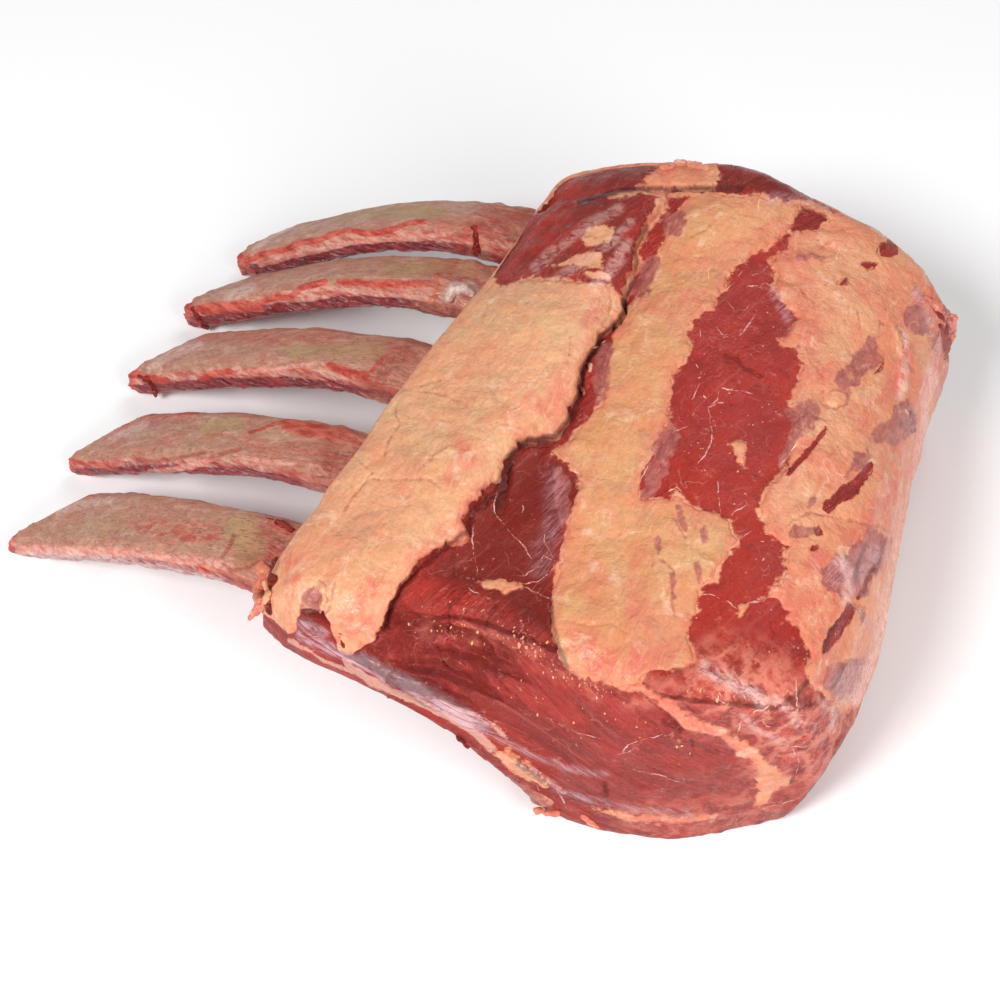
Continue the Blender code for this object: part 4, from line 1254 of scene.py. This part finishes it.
def meat_material(name, groups, fat_tones, shine=0.3):
    """Lean, fat, film, marbling and creases, mixed by what is painted on the mesh."""
    material, tree, shader, place = new_material(name)
    grain, depth = painted(tree, "grain", "Vector"), painted(tree, "fat")
    lean = use(tree, groups["muscle"], {"Place": place, "Grain": grain, "Silk": painted(tree, "silk"),
                                        "Marbling": painted(tree, "marble"),
                                        "Painted_Shade": painted(tree, "painted_shade")})
    fat = use(tree, groups["fat"], {"Place": place, "Blush": painted(tree, "blush"),
                                    "Paleness": painted(tree, "pale"), **fat_tones})
    veil = use(tree, groups["film"], {"Grain": grain, "Place": place, "Amount": painted(tree, "film")})
    skin = use(tree, groups["membrane"], {"Place": place, "Inside": painted(tree, "veil")})
    wet = use(tree, groups["wet"], {"Place": place, "Dull": 0.46, "Glossy": 0.20})
    in_fat = masked(tree, groups, place, depth, 0.0, 1.7, 0.8)
    tan = masked(tree, groups, place, painted(tree, "tan"), 0.45, 0.5, 0.25)
    crease = maths(tree, "MULTIPLY_ADD", swing(tree, place, 420.0, 3.0, 0.6), 0.9,
                   painted(tree, "crease"))
    wisps = speckle(tree, stretched(tree, place, (0.5, 1.0, 0.8), (0.0, 0.0, 0.6)), 300.0, 4.0, 0.65, 1.0)
    colour = coated(
        tree, lean["Colour"],
        (in_fat, fat["Colour"]),
        (skin["Mask"], skin["Colour"]),
        (times(tree, tan, 0.85), SKIN_COLOURS["tan"]),
        (veil["Veil"], veil["Colour"]),
        # creases painted dark as their shade
        (times(tree, between(tree, crease, 0.62, 0.92), 0.7),
         colour_mix(tree, in_fat, CREASE_SHADE_IN_LEAN, CREASE_SHADE_IN_FAT)),
        # pale pink painted highlight in wisps
        (times(tree, painted(tree, "painted_highlight"), between(tree, wisps, 0.35, 0.57)), SKIN_COLOURS["painted_highlight"]),
        # dark red painted over crevices as their shade
        (times(tree, painted(tree, "shaded_crevice"), 0.85), PAINTED_CREVICE_SHADE))
    near_fat = between(tree, depth, -1.0, 1.0)
    relief = put(tree, "ShaderNodeMix", {0: near_fat, 2: lean["Height"], 3: fat["Height"]}).outputs[0]
    height = total(tree, (relief, 1.0), (veil["Height"], 1.0),
                   (wet["Pebbles"], between(tree, near_fat, 0.0, 1.0, 0.42, 0.24)))
    surface(tree, shader, colour, height, wet["Roughness"], 0.9, 1.4 * MM, shine)
    return material


def web_material(name, groups, fresh, dry, share):
    """Thin connective tissue, threads of fat or gristle: fresh and dry in patches."""
    material, tree, shader, place = new_material(name)
    patches = between(tree, speckle(tree, place, 260.0, 4.0, 0.65), 0.42, share)
    wet = use(tree, groups["wet"], {"Place": place, "Dull": 0.50, "Glossy": 0.30})
    surface(tree, shader, colour_mix(tree, patches, fresh, dry), wet["Pebbles"], wet["Roughness"], 0.5,
            0.6 * MM)
    return material


# ---------------------------------------------------------------- ribs

RIB_VOXEL = 0.95 * MM
RIB_STROKES = {
    "blush": (
        (8, 1.0, ((138, 525), (160, 533), (190, 538), (212, 534))),
        (5, 0.8, ((150, 520), (180, 526), (214, 526))),
        (5, 0.6, ((160, 444), (176, 441))),
        (7, 0.7, ((112, 438), (128, 426), (150, 418), (190, 416))),
        (6, 0.6, ((210, 434), (236, 440), (262, 446))),
        (8, 0.6, ((266, 452), (300, 450), (330, 446))),
        (7, 0.7, ((200, 334), (240, 337), (290, 339), (330, 337))),
        (8, 0.7, ((392, 352), (412, 362), (424, 366))),
        (9, 0.9, ((470, 232), (500, 226), (520, 222))),
        (5, 0.6, ((66, 500), (96, 494), (130, 494))),
        (5, 0.5, ((440, 224), (460, 226), (474, 224))),
        (8, 0.6, ((470, 262), (492, 266), (500, 262))),
        (9, 0.7, ((262, 530), (272, 545), (266, 560))),
    ),
    "bare": (
        (16, 1.0, ((238, 530), (252, 540), (252, 556))),
        (6.5, 1.0, ((206, 428), (220, 426), (238, 423))),
        (7, 0.7, ((390, 270), (430, 270), (470, 268))),
        (7, 0.7, ((330, 218), (380, 212), (440, 212))),
        (9, 0.6, ((290, 352), (330, 350), (380, 350))),
        (12, 0.4, ((70, 530), (100, 524), (130, 520))),
    ),
    "red": (
        (3.2, 1.0, ((190, 312), (205, 306), (230, 303), (255, 304), (275, 298), (292, 297), (302, 288),
          (325, 282))),
        (3.6, 1.0, ((204, 311), (232, 309), (262, 309))),
        (4.0, 0.75, ((340, 282), (380, 284), (410, 284), (432, 285))),
        (3.0, 1.0, ((437, 277), (438, 290), (434, 300))),
        (3.0, 1.0, ((246, 262), (262, 254), (285, 250), (300, 243), (320, 240), (345, 230), (372, 234),
          (395, 229), (408, 223), (424, 222))),
        (3.0, 0.7, ((206, 332), (236, 330), (252, 329))),
        (3.4, 0.9, ((204, 379), (214, 373), (231, 371))),
        (4.0, 1.0, ((330, 366), (350, 373), (366, 376))),
        (2.0, 0.9, ((368, 378), (377, 366), (384, 359))),
        (7.5, 1.0, ((288, 426), (310, 431), (340, 436), (364, 443))),
        (2.2, 0.9, ((250, 433), (262, 430), (274, 425), (284, 422))),
        (2.6, 0.8, ((112, 468), (100, 464), (72, 462))),
        (2.4, 0.9, ((122, 426), (136, 416), (160, 413), (196, 414))),
        (2.8, 1.0, ((63, 500), (68, 495), (90, 494), (100, 489), (112, 488), (126, 491))),
        (3.4, 0.9, ((270, 524), (280, 530), (288, 536))),
        (3.0, 0.9, ((202, 568), (210, 573))),
        (3.6, 0.9, ((234, 584), (244, 586), (252, 590))),
        (3.6, 0.9, ((134, 374), (150, 377), (166, 380))),
        (3.0, 0.7, ((244, 262), (250, 270), (256, 274))),
    ),
    "cut": (
        (1.8, 0.9, ((138, 459), (160, 461), (185, 457), (205, 452))),
        (2.0, 0.9, ((212, 457), (225, 453), (240, 449))),
        (1.8, 0.9, ((234, 535), (230, 546), (222, 557))),
        (1.8, 0.8, ((222, 563), (232, 570), (250, 568), (262, 562))),
        (1.6, 0.6, ((200, 348), (250, 346), (300, 344), (342, 334))),
        (1.6, 0.6, ((262, 566), (266, 572), (268, 580))),
    ),
    "strip": (
        (2.6, 0.9, ((262, 264), (290, 257), (320, 250), (350, 243), (380, 240), (410, 238),
          (450, 234))),
        (2.4, 0.9, ((285, 293), (330, 288), (346, 290), (380, 294), (410, 296), (430, 298))),
        (3.4, 0.8, ((150, 472), (180, 468), (205, 462), (216, 456))),
        (2.6, 0.7, ((236, 456), (270, 462), (300, 464), (330, 470))),
        (2.6, 0.7, ((240, 373), (280, 368), (322, 363))),
        (5.0, 0.8, ((20, 550), (70, 550), (130, 552), (190, 560), (230, 566))),
        (2.2, 0.6, ((262, 299), (290, 302), (330, 296))),
    ),
    "film": (
        (5, 0.8, ((20, 555), (70, 556), (120, 561), (170, 569), (220, 580))),
        (3, 0.6, ((254, 250), (272, 236), (296, 222), (320, 213), (350, 208))),
        (4, 0.6, ((150, 368), (175, 352), (200, 345))),
        (5, 0.6, ((228, 298), (244, 292), (252, 286))),
        (4, 0.5, ((110, 440), (130, 432), (146, 424))),
        (6, 0.7, ((446, 300), (452, 290), (470, 286), (476, 296))),
        (4, 0.5, ((60, 512), (80, 504), (110, 500))),
        (3, 0.7, ((440, 486), (400, 480), (360, 476))),
    ),
}
BONE_COLOURS = {"bone": (0.50, 0.245, 0.155), "rosy": (0.50, 0.20, 0.135), "light": (0.66, 0.40, 0.29),
                "dark": (0.38, 0.13, 0.095), "scrape": (0.52, 0.14, 0.10), "bare": (0.47, 0.28, 0.13),
                "bare_dark": (0.42, 0.23, 0.12), "pit": (0.42, 0.07, 0.055),
                "blush": (0.52, 0.085, 0.055)}
RIDGE_COLOURS = {"red": (0.46, 0.035, 0.025), "bright": (0.66, 0.13, 0.085),
                 "rim": (0.58, 0.10, 0.075), "pale_rim": (0.74, 0.36, 0.29)}
SIDE_COLOURS = {"dark": (0.13, 0.014, 0.018), "flesh": (0.36, 0.045, 0.050),
                "tatters": (0.66, 0.33, 0.33), "under": (0.42, 0.13, 0.13), "film": (0.60, 0.33, 0.31)}
STRIP_COLOURS = ((0.72, 0.38, 0.30), (0.68, 0.20, 0.15))
BASE_COLOURS = ((0.40, 0.055, 0.04), (0.56, 0.22, 0.14))
VEIL_ON_BONE = (0.82, 0.60, 0.56)
KNIFE_CUT = (0.34, 0.06, 0.04)
GRAIN_OF_RIBS = (200.0, 900.0, 900.0)
RIB_STATIONS = 25  # places along a rib where its slope is measured


def make_rib(node, seed):
    """A frenched rib: bone under its skin, a frayed ridge along each edge and a ragged tip."""
    piece = copy_of_nodes(node + "_bone", [node])
    apply_modifier(piece, "REMESH", mode="VOXEL", voxel_size=RIB_VOXEL)
    apply_modifier(piece, "SMOOTH", factor=0.5, iterations=7)
    points, normals = places(piece), outward(piece)
    x = points[:, 0]
    marks = np.linspace(x.min(), x.max(), RIB_STATIONS + 1)
    station = np.clip(np.digitize(x, marks) - 1, 0, RIB_STATIONS - 1)
    centre = np.array([points[station == i].mean(axis=0) for i in range(RIB_STATIONS)])
    slope = np.interp(x, centre[:, 0], np.gradient(centre[:, 2], centre[:, 0]))
    drop = 1 - (normals[:, 2] - normals[:, 0] * slope) / np.hypot(1, slope)
    at, seen = seen_at(points), facing(points, normals)
    values = {kind: stroked(at, strokes, sharp=kind == "cut") * seen
              for kind, strokes in RIB_STROKES.items()}
    edge = ease(0.18, 0.45, drop) * (1 - ease(0.75, 1.05, drop))
    side = ease(0.55, 0.9, drop)
    along = points * np.array([0.22, 1.0, 1.0])
    base = ease(-74, -50, x / MM)
    tip = 1 - ease(1, 9, (x - x.min()) / MM)
    relief = (lumps(points, (0.40, 15, seed), (0.14, 4, seed + 1))
              + edge * (0.35 + lumps(along, (0.6, 3.0, seed + 2)))
              + side * (lumps(along, (0.6, 2.2, seed + 3)) + lumps(points, (0.35, 2.0, seed + 4))
                        + 0.5 * np.abs(lumps(along, (1.0, 4.0, seed + 7))))
              + 0.7 * values["red"] + 0.35 * (values["film"] + values["strip"])
              - 0.35 * ease(0.4, 0.9, values["cut"])
              + base * (0.8 + lumps(points, (1.2, 6, seed + 5)))
              + tip * lumps(points, (0.8, 2.4, seed + 6)))
    move_to(piece, raised(points, normals, relief))
    values.update(drop=drop, base=base, tip=tip, unseen=1 - seen)
    for kind, value in values.items():
        set_value(piece, kind, value)
    return piece


def rib_material(name, groups):
    """Bone skin on top, a bright torn ridge, dark flesh on the sides and pink film under."""
    material, tree, shader, place = new_material(name)
    long = stretched(tree, place, (0.16, 1.0, 1.0))
    streak = speckle(tree, long, 260.0, 4.0, 0.62, 0.4)
    cloud = speckle(tree, place, 42.0, 3.0, 0.55, 0.5)
    fine = speckle(tree, place, 420.0, 3.0, 0.6)
    scrape = speckle(tree, stretched(tree, place, (0.5, 1.0, 1.0), (0.0, 0.0, 0.6)), 380.0, 4.0, 0.65)
    wisps = speckle(tree, stretched(tree, place, (0.45, 1.0, 1.0), (0.0, 0.0, 0.5)), 330.0, 4.0, 0.7, 0.8)
    torn = speckle(tree, stretched(tree, place, (0.30, 1.0, 1.0), (0.0, 0.5, 0.0)), 480.0, 5.0, 0.7, 1.2)
    stringy = speckle(tree, long, 420.0, 4.0, 0.65, 0.6)
    pits = cells(tree, stretched(tree, place, (0.30, 1.0, 1.0)), 420.0)
    pits = times(tree, between(tree, pits, 0.12, 0.30, 1.0, 0.0),
                 between(tree, speckle(tree, place, 55.0), 0.50, 0.62))
    bare = masked(tree, groups, place, painted(tree, "bare"), 0.42, 0.22, 0.3)
    bone = coated(
        tree, BONE_COLOURS["bone"],
        (between(tree, cloud, 0.36, 0.64), BONE_COLOURS["rosy"]),
        (between(tree, streak, 0.48, 0.70, 0.0, 0.65), BONE_COLOURS["light"]),
        (between(tree, streak, 0.46, 0.28, 0.0, 0.6), BONE_COLOURS["dark"]),
        (between(tree, scrape, 0.56, 0.72, 0.0, 0.45), BONE_COLOURS["scrape"]),
        (times(tree, bare, 0.85), colour_mix(tree, between(tree, cloud, 0.4, 0.6), BONE_COLOURS["bare"],
                                             BONE_COLOURS["bare_dark"])),
        (times(tree, pits, 0.5), BONE_COLOURS["pit"]),
        (times(tree, painted(tree, "blush"), between(tree, wisps, 0.42, 0.58), 0.9),
         BONE_COLOURS["blush"]))
    drop = total(tree, (swing(tree, long, 330.0, 5.0, 0.7, 0.5), 0.7), (painted(tree, "drop"), 1.0))
    ridge = colour_mix(tree, between(tree, streak, 0.38, 0.62), RIDGE_COLOURS["red"],
                       RIDGE_COLOURS["bright"])
    far_ridge = colour_mix(tree, times(tree, painted(tree, "unseen"), 0.9), bone, ridge)
    rim = times(tree, between(tree, drop, 0.34, 0.46), between(tree, torn, 0.36, 0.52), 0.85)
    tatters = between(tree, torn, 0.50, 0.64)
    flesh = coated(tree, SIDE_COLOURS["dark"],
                   (between(tree, stringy, 0.35, 0.65), SIDE_COLOURS["flesh"]),
                   (times(tree, tatters, 0.7), SIDE_COLOURS["tatters"]))
    under = colour_mix(tree, between(tree, streak, 0.35, 0.65), SIDE_COLOURS["under"],
                       SIDE_COLOURS["film"])
    strip = masked(tree, groups, place, painted(tree, "strip"), 0.45, 0.3, 0.25)
    red = maths(tree, "MAXIMUM", painted(tree, "red"), times(tree, painted(tree, "tip"), 0.62))
    red = masked(tree, groups, place, red, 0.45, 0.3, 0.22)
    meaty = times(tree, painted(tree, "base"), between(tree, fine, 0.35, 0.60, 0.35, 1.0))
    veil = use(tree, groups["film"], {"Grain": stretched(tree, place, GRAIN_OF_RIBS), "Place": place,
                                      "Amount": painted(tree, "film")})
    colour = coated(
        tree, bone,
        (between(tree, drop, 0.30, 0.42), far_ridge),
        (rim, colour_mix(tree, between(tree, streak, 0.42, 0.60), RIDGE_COLOURS["rim"],
                         RIDGE_COLOURS["pale_rim"])),
        (between(tree, drop, 0.56, 0.74), flesh),
        (between(tree, drop, 1.30, 1.50), under),
        (times(tree, strip, 0.85), colour_mix(tree, between(tree, scrape, 0.4, 0.6), *STRIP_COLOURS)),
        (times(tree, red, 0.92), ridge),
        (times(tree, meaty, 0.75), colour_mix(tree, between(tree, cloud, 0.42, 0.60), *BASE_COLOURS)),
        (times(tree, veil["Veil"], 0.9), VEIL_ON_BONE),
        (times(tree, between(tree, painted(tree, "cut"), 0.50, 0.78), 0.6), KNIFE_CUT))
    wet = use(tree, groups["wet"], {"Place": place, "Dull": 0.52, "Glossy": 0.32})
    height = total(tree, (fine, 0.3), (streak, 0.7), (pits, -0.4), (tatters, 0.35), (scrape, 0.4))
    surface(tree, shader, colour, height, wet["Roughness"], 0.8, 1.1 * MM, 0.35)
    return material


# ---------------------------------------------------------------- scraps, webs and crumbs

SCRAP_VOXEL = 0.55 * MM
BALL_GAP = 0.7  # of the smaller ball's radius
CRUMB_SEED = 11
STRAND_STEP = 1.6  # pixels
# Torn bits: name, kind, and spots as (u, v, lift, radius), the last two in mm.
SCRAPS = (
    ("scrap_rib_1_base", "pink", ((262, 566, -1, 3.0), (266, 578, 0, 3.4), (258, 590, 0, 3.0),
      (262, 604, 0, 3.2), (254, 612, 0, 2.0), (249, 620, 0, 0.9))),
    ("scrap_rib_1_flesh", "red", ((276, 560, -1, 2.4), (274, 580, 0, 2.6), (268, 600, 0, 2.4),
      (270, 612, 0, 1.8))),
    ("scrap_rib_1_top", "red", ((268, 518, -1, 1.8), (280, 523, -1, 2.4), (290, 530, -1, 2.6))),
    ("scrap_rib_1_fat", "fat", ((268, 584, 1, 1.3), (271, 592, 1.5, 1.6), (267, 602, 1, 1.3),
      (262, 610, 1, 0.9))),
    ("scrap_under_a", "pink", ((536, 810, 0, 1.5), (546, 813, 0, 1.4), (558, 812, 0, 1.6))),
    ("scrap_under_b", "pink", ((584, 816, 0, 1.7), (591, 822, 0, 1.8), (598, 828, 0, 1.2))),
    ("scrap_under_c", "red", ((458, 737, 0, 1.3), (464, 742, 0, 1.2), (468, 747, 0, 0.9))),
    ("scrap_rib_3_tip", "red", ((140, 376, 0, 1.9), (148, 380, 0, 2.2), (153, 386, 0, 1.9),
      (155, 392, 0, 1.4), (156, 397, 0, 0.8))),
    ("scrap_rib_4_tip", "red", ((193, 310, 0, 1.8), (198, 318, 0, 2.2), (203, 325, 0, 1.8),
      (208, 328, 0, 1.0))),
    ("scrap_rib_4_gel", "gel", ((450, 298, 0.4, 2.6), (454, 292, 0.6, 2.8), (464, 290, 0.5, 2.8),
      (472, 294, 0.2, 2.0))),
    ("scrap_rib_5_base", "red", ((474, 226, -1.4, 2.0), (476, 238, -0.8, 2.2), (477, 248, -0.4, 2.4),
      (474, 254, -0.4, 1.6))),
    ("scrap_right_edge", "pink", ((928, 300, -1.5, 2.6), (940, 308, -1.0, 3.2), (952, 320, -1, 3.0),
      (950, 338, -1.2, 2.8), (944, 358, -1.4, 2.4))),
    ("lump_near_a", "fat", ((500, 754, 0, 1.6), (514, 760, 0, 2.2), (530, 772, 0, 2.4),
      (546, 784, 0, 1.8))),
    ("scrap_far_fat", "fat", ((664, 168, -0.6, 2.4), (684, 164, -0.6, 2.8), (706, 168, -0.6, 2.4))),
    ("tongue_near", "fat", ((320, 580, -0.4, 1.3), (324, 592, -0.2, 1.7), (322, 606, -0.2, 1.5),
      (320, 613, -0.4, 1.0))),
    ("curl_crevice_a", "fat", ((586, 364, 0, 1.0), (590, 366, 0.3, 1.3), (590, 371, 0, 1.0))),
    ("curl_crevice_b", "fat", ((580, 387, 0, 0.9), (584, 390, 0.3, 1.2), (584, 394, 0, 0.9))),
)
# Crumbs: how many, how far they spread in pixels, and along which line.
CRUMB_LINES = (
    (90, 11, ((420, 624), (470, 632), (514, 640), (546, 662), (572, 678), (605, 693))),
    (34, 7, ((514, 638), (530, 648), (546, 664))),
    (26, 6, ((572, 677), (590, 685), (605, 693))),
    (24, 8, ((440, 600), (480, 606), (520, 628), (548, 656))),
    (26, 16, ((470, 676), (570, 708), (640, 730), (700, 760))),
    (34, 16, ((740, 440), (760, 490), (770, 520), (750, 580), (790, 640))),
    (16, 14, ((700, 330), (716, 400), (690, 460))),
    (20, 12, ((652, 470), (668, 560), (700, 560))),
    (18, 18, ((660, 240), (640, 360), (620, 470))),
    (26, 12, ((700, 688), (740, 700), (790, 716))),
)


def landed(trees, u, v):
    """The nearest surface seen through a pixel: (place, outward direction, distance), or None."""
    hits = [tree.ray_cast(Vector(EYE), ray_through(u, v)) for tree in trees]
    hits = [(np.array(place), np.array(normal), distance)
            for place, normal, _, distance in hits if place is not None]
    return min(hits, key=lambda hit: hit[2], default=None)


def spot_place(trees, u, v, lift):
    """A place over the surface seen through a pixel; past its edge, beside the nearest that is seen."""
    found = landed(trees, u, v)
    if found:
        return found[0] + found[1] * lift * MM
    for ring, turn in product(range(3, 60, 3), range(0, 360, 30)):
        found = landed(trees, u + ring * math.cos(math.radians(turn)),
                       v + ring * math.sin(math.radians(turn)))
        if found:
            return EYE + np.array(ray_through(u, v)) * (found[2] + 2 * MM) + BACK * lift * MM
    raise ValueError("nothing is seen near this pixel")


def finished(piece, fat, pink=0.0):
    """Stores what the material of a small piece reads, which is fat or lean all over."""
    points = places(piece)
    move_to(piece, points)
    paint(piece, points, outward(piece), np.full(len(points), fat), pink)
    return piece


def make_scrap(name, trees, spots, seed, fat, rough, pink):
    """A torn bit grown from a chain of balls: each spot is a pixel, a lift and a radius in mm."""
    balls = []
    for (*spot, radius), (*next_spot, next_radius) in zip(spots, spots[1:] + spots[-1:]):
        here, there = spot_place(trees, *spot), spot_place(trees, *next_spot)
        gap = BALL_GAP * min(radius, next_radius) * MM
        steps = max(1, int(np.linalg.norm(there - here) / gap))
        for share in np.arange(steps) / steps:
            size = mixed(share, next_radius, radius)
            bpy.ops.mesh.primitive_ico_sphere_add(subdivisions=2, radius=size * MM,
                                                  location=tuple(mixed(share, there, here)))
            balls.append(bpy.context.object)
    piece = joined(balls, name)
    bpy.ops.object.transform_apply(location=True, rotation=True, scale=True)
    apply_modifier(piece, "REMESH", mode="VOXEL", voxel_size=SCRAP_VOXEL)
    points = places(piece)
    push = rough * (lumps(points, (1.0, 3.6, seed), (0.7, 1.6, seed + 1))
                    - 0.5 * np.abs(lumps(points, (1.0, 2.4, seed + 2))))
    move_to(piece, raised(points, outward(piece), push))
    return finished(piece, fat, pink)


def make_crumbs(name, trees):
    """Small flecks of fat that the knife left, each a low uneven ball set into the surface."""
    random = np.random.default_rng(CRUMB_SEED)
    crumbs = []
    for count, spread, line in CRUMB_LINES:
        line = np.array(line, float)
        for _ in range(count):
            step = random.random() * (len(line) - 1.001)
            u, v = line[int(step)] + (step % 1) * (line[int(step) + 1] - line[int(step)])
            u, v = u + random.normal() * spread * 0.7, v + random.normal() * spread * 0.5
            found = landed(trees, u, v)
            size = (0.26 + 0.62 * random.random() ** 3) * MM
            spin = random.random() * math.tau
            if found is None:
                continue
            place, normal, _ = found
            bpy.ops.mesh.primitive_ico_sphere_add(
                subdivisions=1, radius=size, location=tuple(place - normal * 0.1 * size),
                rotation=Vector(normal).to_track_quat("Z", "X").to_euler(),
                scale=(1.0 + 1.2 * random.random(), 0.8 + 0.3 * math.cos(spin), 0.5))
            crumbs.append(bpy.context.object)
    piece = joined(crumbs, name)
    bpy.ops.object.transform_apply(location=True, rotation=True, scale=True)
    points = places(piece)
    move_to(piece, raised(points, outward(piece), lumps(points, (0.22, 0.9, 77))))
    apply_modifier(piece, "SUBSURF", levels=1, render_levels=1)
    return finished(piece, FAR)


def make_strands(name, trees, strands, seed):
    """Thin flat strands that follow lines on the surface, thicker and thinner as they go."""
    bpy.ops.curve.primitive_bezier_curve_add(location=(0, 0, 0))
    piece = bpy.context.object
    data = piece.data
    data.splines.clear()
    data.dimensions = "3D"
    data.bevel_depth = 1.0
    data.bevel_resolution = 1
    data.use_fill_caps = True
    random = np.random.default_rng(seed)
    for width, line in strands:
        line = np.array(line, float)
        runs = np.linalg.norm(np.diff(line, axis=0), axis=1)
        along = np.concatenate([[0.0], np.cumsum(runs)])
        steps = np.arange(0.0, along[-1], STRAND_STEP)
        wobble = np.cumsum(random.normal(size=(len(steps), 2)) * 0.42, axis=0)
        wobble = wobble - steps[:, None] / along[-1] * wobble[-1]
        track = np.stack([np.interp(steps, along, line[:, axis]) for axis in (0, 1)], axis=1) + wobble
        found = [landed(trees, u, v) for u, v in track]
        kept = [(hit[0] - hit[1] * 0.35 * width * MM, step / along[-1])
                for hit, step in zip(found, steps) if hit]
        if len(kept) < 3:
            continue
        spline = data.splines.new("POLY")
        spline.points.add(len(kept) - 1)
        for point, (place, share) in zip(spline.points, kept):
            point.co = (*place, 1.0)
            thick = 0.75 + 0.45 * math.sin(9.0 * share + width * 40) + 0.25 * random.normal()
            taper = min(1.0, 4 * share + 0.25, 4 * (1 - share) + 0.25)
            point.radius = width * MM * max(0.3, thick) * taper
    select_only(piece)
    bpy.ops.object.convert(target="MESH")
    piece = bpy.context.object
    piece.name = piece.data.name = name
    return finished(piece, -FAR)


# ---------------------------------------------------------------- floor and light

FLOOR_SIZE = 6.0
FLOOR_TINTS = ((0.93, 0.93, 0.93), (0.96, 0.96, 0.96))
WORLD_STRENGTH = 0.20
LIGHTS = (  # name, place, size and power
    ("key", (-0.45, -1.35, 1.55), 0.7, 36.0),
    ("fill", (1.4, -0.70, 1.0), 1.0, 18.0),
    ("rear", (0.2, 1.4, 1.7), 1.2, 11.0),
)


def make_stage():
    bpy.ops.mesh.primitive_plane_add(size=FLOOR_SIZE, location=(0, 0, 0))
    floor = bpy.context.object
    floor.name = "floor"
    material, tree, shader, place = new_material("pale_floor")
    tint = colour_mix(tree, speckle(tree, place, 3.0), *FLOOR_TINTS)
    tree.links.new(tint, shader.inputs["Base Color"])
    shader.inputs["Roughness"].default_value = 0.9
    shader.inputs["Specular IOR Level"].default_value = 0.1
    floor.data.materials.append(material)
    world = bpy.data.worlds.new("studio")
    world.use_nodes = True
    background = world.node_tree.nodes["Background"]
    background.inputs["Color"].default_value = (1.0, 1.0, 1.0, 1.0)
    background.inputs["Strength"].default_value = WORLD_STRENGTH
    bpy.context.scene.world = world
    for name, place, size, power in LIGHTS:
        data = bpy.data.lights.new(name, "AREA")
        data.shape = "DISK"
        data.size = size
        data.energy = power
        light = new_object(name, data)
        light.location = place
        light.rotation_euler = (Vector(AIM) - Vector(place)).to_track_quat("-Z", "Y").to_euler()


# ---------------------------------------------------------------- everything together

CAP_TONES = {"Cream": (0.74, 0.40, 0.215), "Warm": (0.74, 0.32, 0.17), "Pale": (0.66, 0.41, 0.20)}
BAND_TONES = {"Cream": (0.68, 0.33, 0.15), "Warm": (0.68, 0.26, 0.12), "Pale": (0.66, 0.37, 0.17)}
BACK_TONES = {"Cream": (0.74, 0.32, 0.165), "Warm": (0.72, 0.235, 0.125), "Pale": (0.74, 0.39, 0.21)}
WEB_LOOKS = {  # fresh and dry colours, and where dry begins to cover all
    "connective_tissue": ((0.46, 0.13, 0.115), (0.66, 0.38, 0.34), 0.56),
    "fat_thread": ((0.72, 0.40, 0.25), (0.84, 0.60, 0.42), 0.60),
    "clear_gristle": ((0.60, 0.38, 0.30), (0.72, 0.54, 0.48), 0.60),
}
LAYERS = (  # name, node, slot, outline, rise, rounding and unevenness in mm, seed, lip in mm
    ("flap_layer", "cap_flap", "cap_fat", FLAP, 1.1, 1.6, 0.9, 40, 1.0),
    ("band_layer", "fat_band", "cap_fat", BAND, 0.65, 2.2, 1.5, 50, 0.0),
    ("back_fat_layer", "back_fat", "soft_fat", BACK_FAT, 0.75, 2.4, 1.7, 60, 0.0),
)
RIB_SEEDS = range(70, 120, 10)
SCRAP_SEED = 200


def handed_over(piece, material, slot, *nodes):
    """Gives a piece its material, attaches it to the root body and hides the nodes that it stands for."""
    piece.data.materials.append(material)
    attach(piece, "root")
    if nodes:
        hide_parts(*nodes)
    return piece


def main():
    bpy.context.scene.view_settings.view_transform = "Standard"
    make_camera()
    make_stage()
    groups = {"fat": fat_group(), "muscle": muscle_group(), "film": film_group(),
              "membrane": membrane_group(), "ragged": ragged_group(), "wet": wet_group()}
    lean = meat_material("lean_flesh", groups, BACK_TONES, shine=0.24)
    cap = meat_material("cap_fat_surface", groups, CAP_TONES)
    band = meat_material("band_fat_surface", groups, BAND_TONES)
    back = meat_material("back_fat_surface", groups, BACK_TONES)
    bone = rib_material("rib_surface", groups)
    tissue, thread, gel = [web_material(name, groups, *look) for name, look in WEB_LOOKS.items()]

    skin = make_skin()
    body = handed_over(make_lean_body(skin), lean, "lean_meat", "meat", "seam_fat")
    layers = [handed_over(make_layer(skin, name, outline, node, *shape), material, slot, node)
              for material, (name, node, slot, outline, *shape) in zip((cap, band, back), LAYERS)]
    bpy.data.objects.remove(skin, do_unlink=True)
    ribs = [handed_over(make_rib(node, seed), bone, "bone", node) for node, seed in zip(RIBS, RIB_SEEDS)]

    trees = [tree_of(piece.data) for piece in (body, *ribs, *layers)]
    kinds = {"red": (lean, "lean_meat", -FAR, 0.8, 0.0), "pink": (back, "soft_fat", FAR, 0.8, 0.95),
             "fat": (cap, "soft_fat", FAR, 0.8, 0.0), "gel": (gel, "soft_fat", FAR, 0.25, 0.0)}
    for seed, (name, kind, spots) in enumerate(SCRAPS, start=SCRAP_SEED):
        material, slot, *look = kinds[kind]
        handed_over(make_scrap(name, trees, spots, seed, *look), material, slot)
    handed_over(make_crumbs("fat_crumbs", trees), cap, "soft_fat")
    handed_over(make_strands("webs", trees, WEBS, seed=5), tissue, "soft_fat")
    handed_over(make_strands("threads", trees, THREADS, seed=6), thread, "soft_fat")

    for piece in bpy.context.scene.objects:
        if piece.type == "MESH" and "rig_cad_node" not in piece:
            select_only(piece)
            bpy.ops.object.shade_smooth()


main()
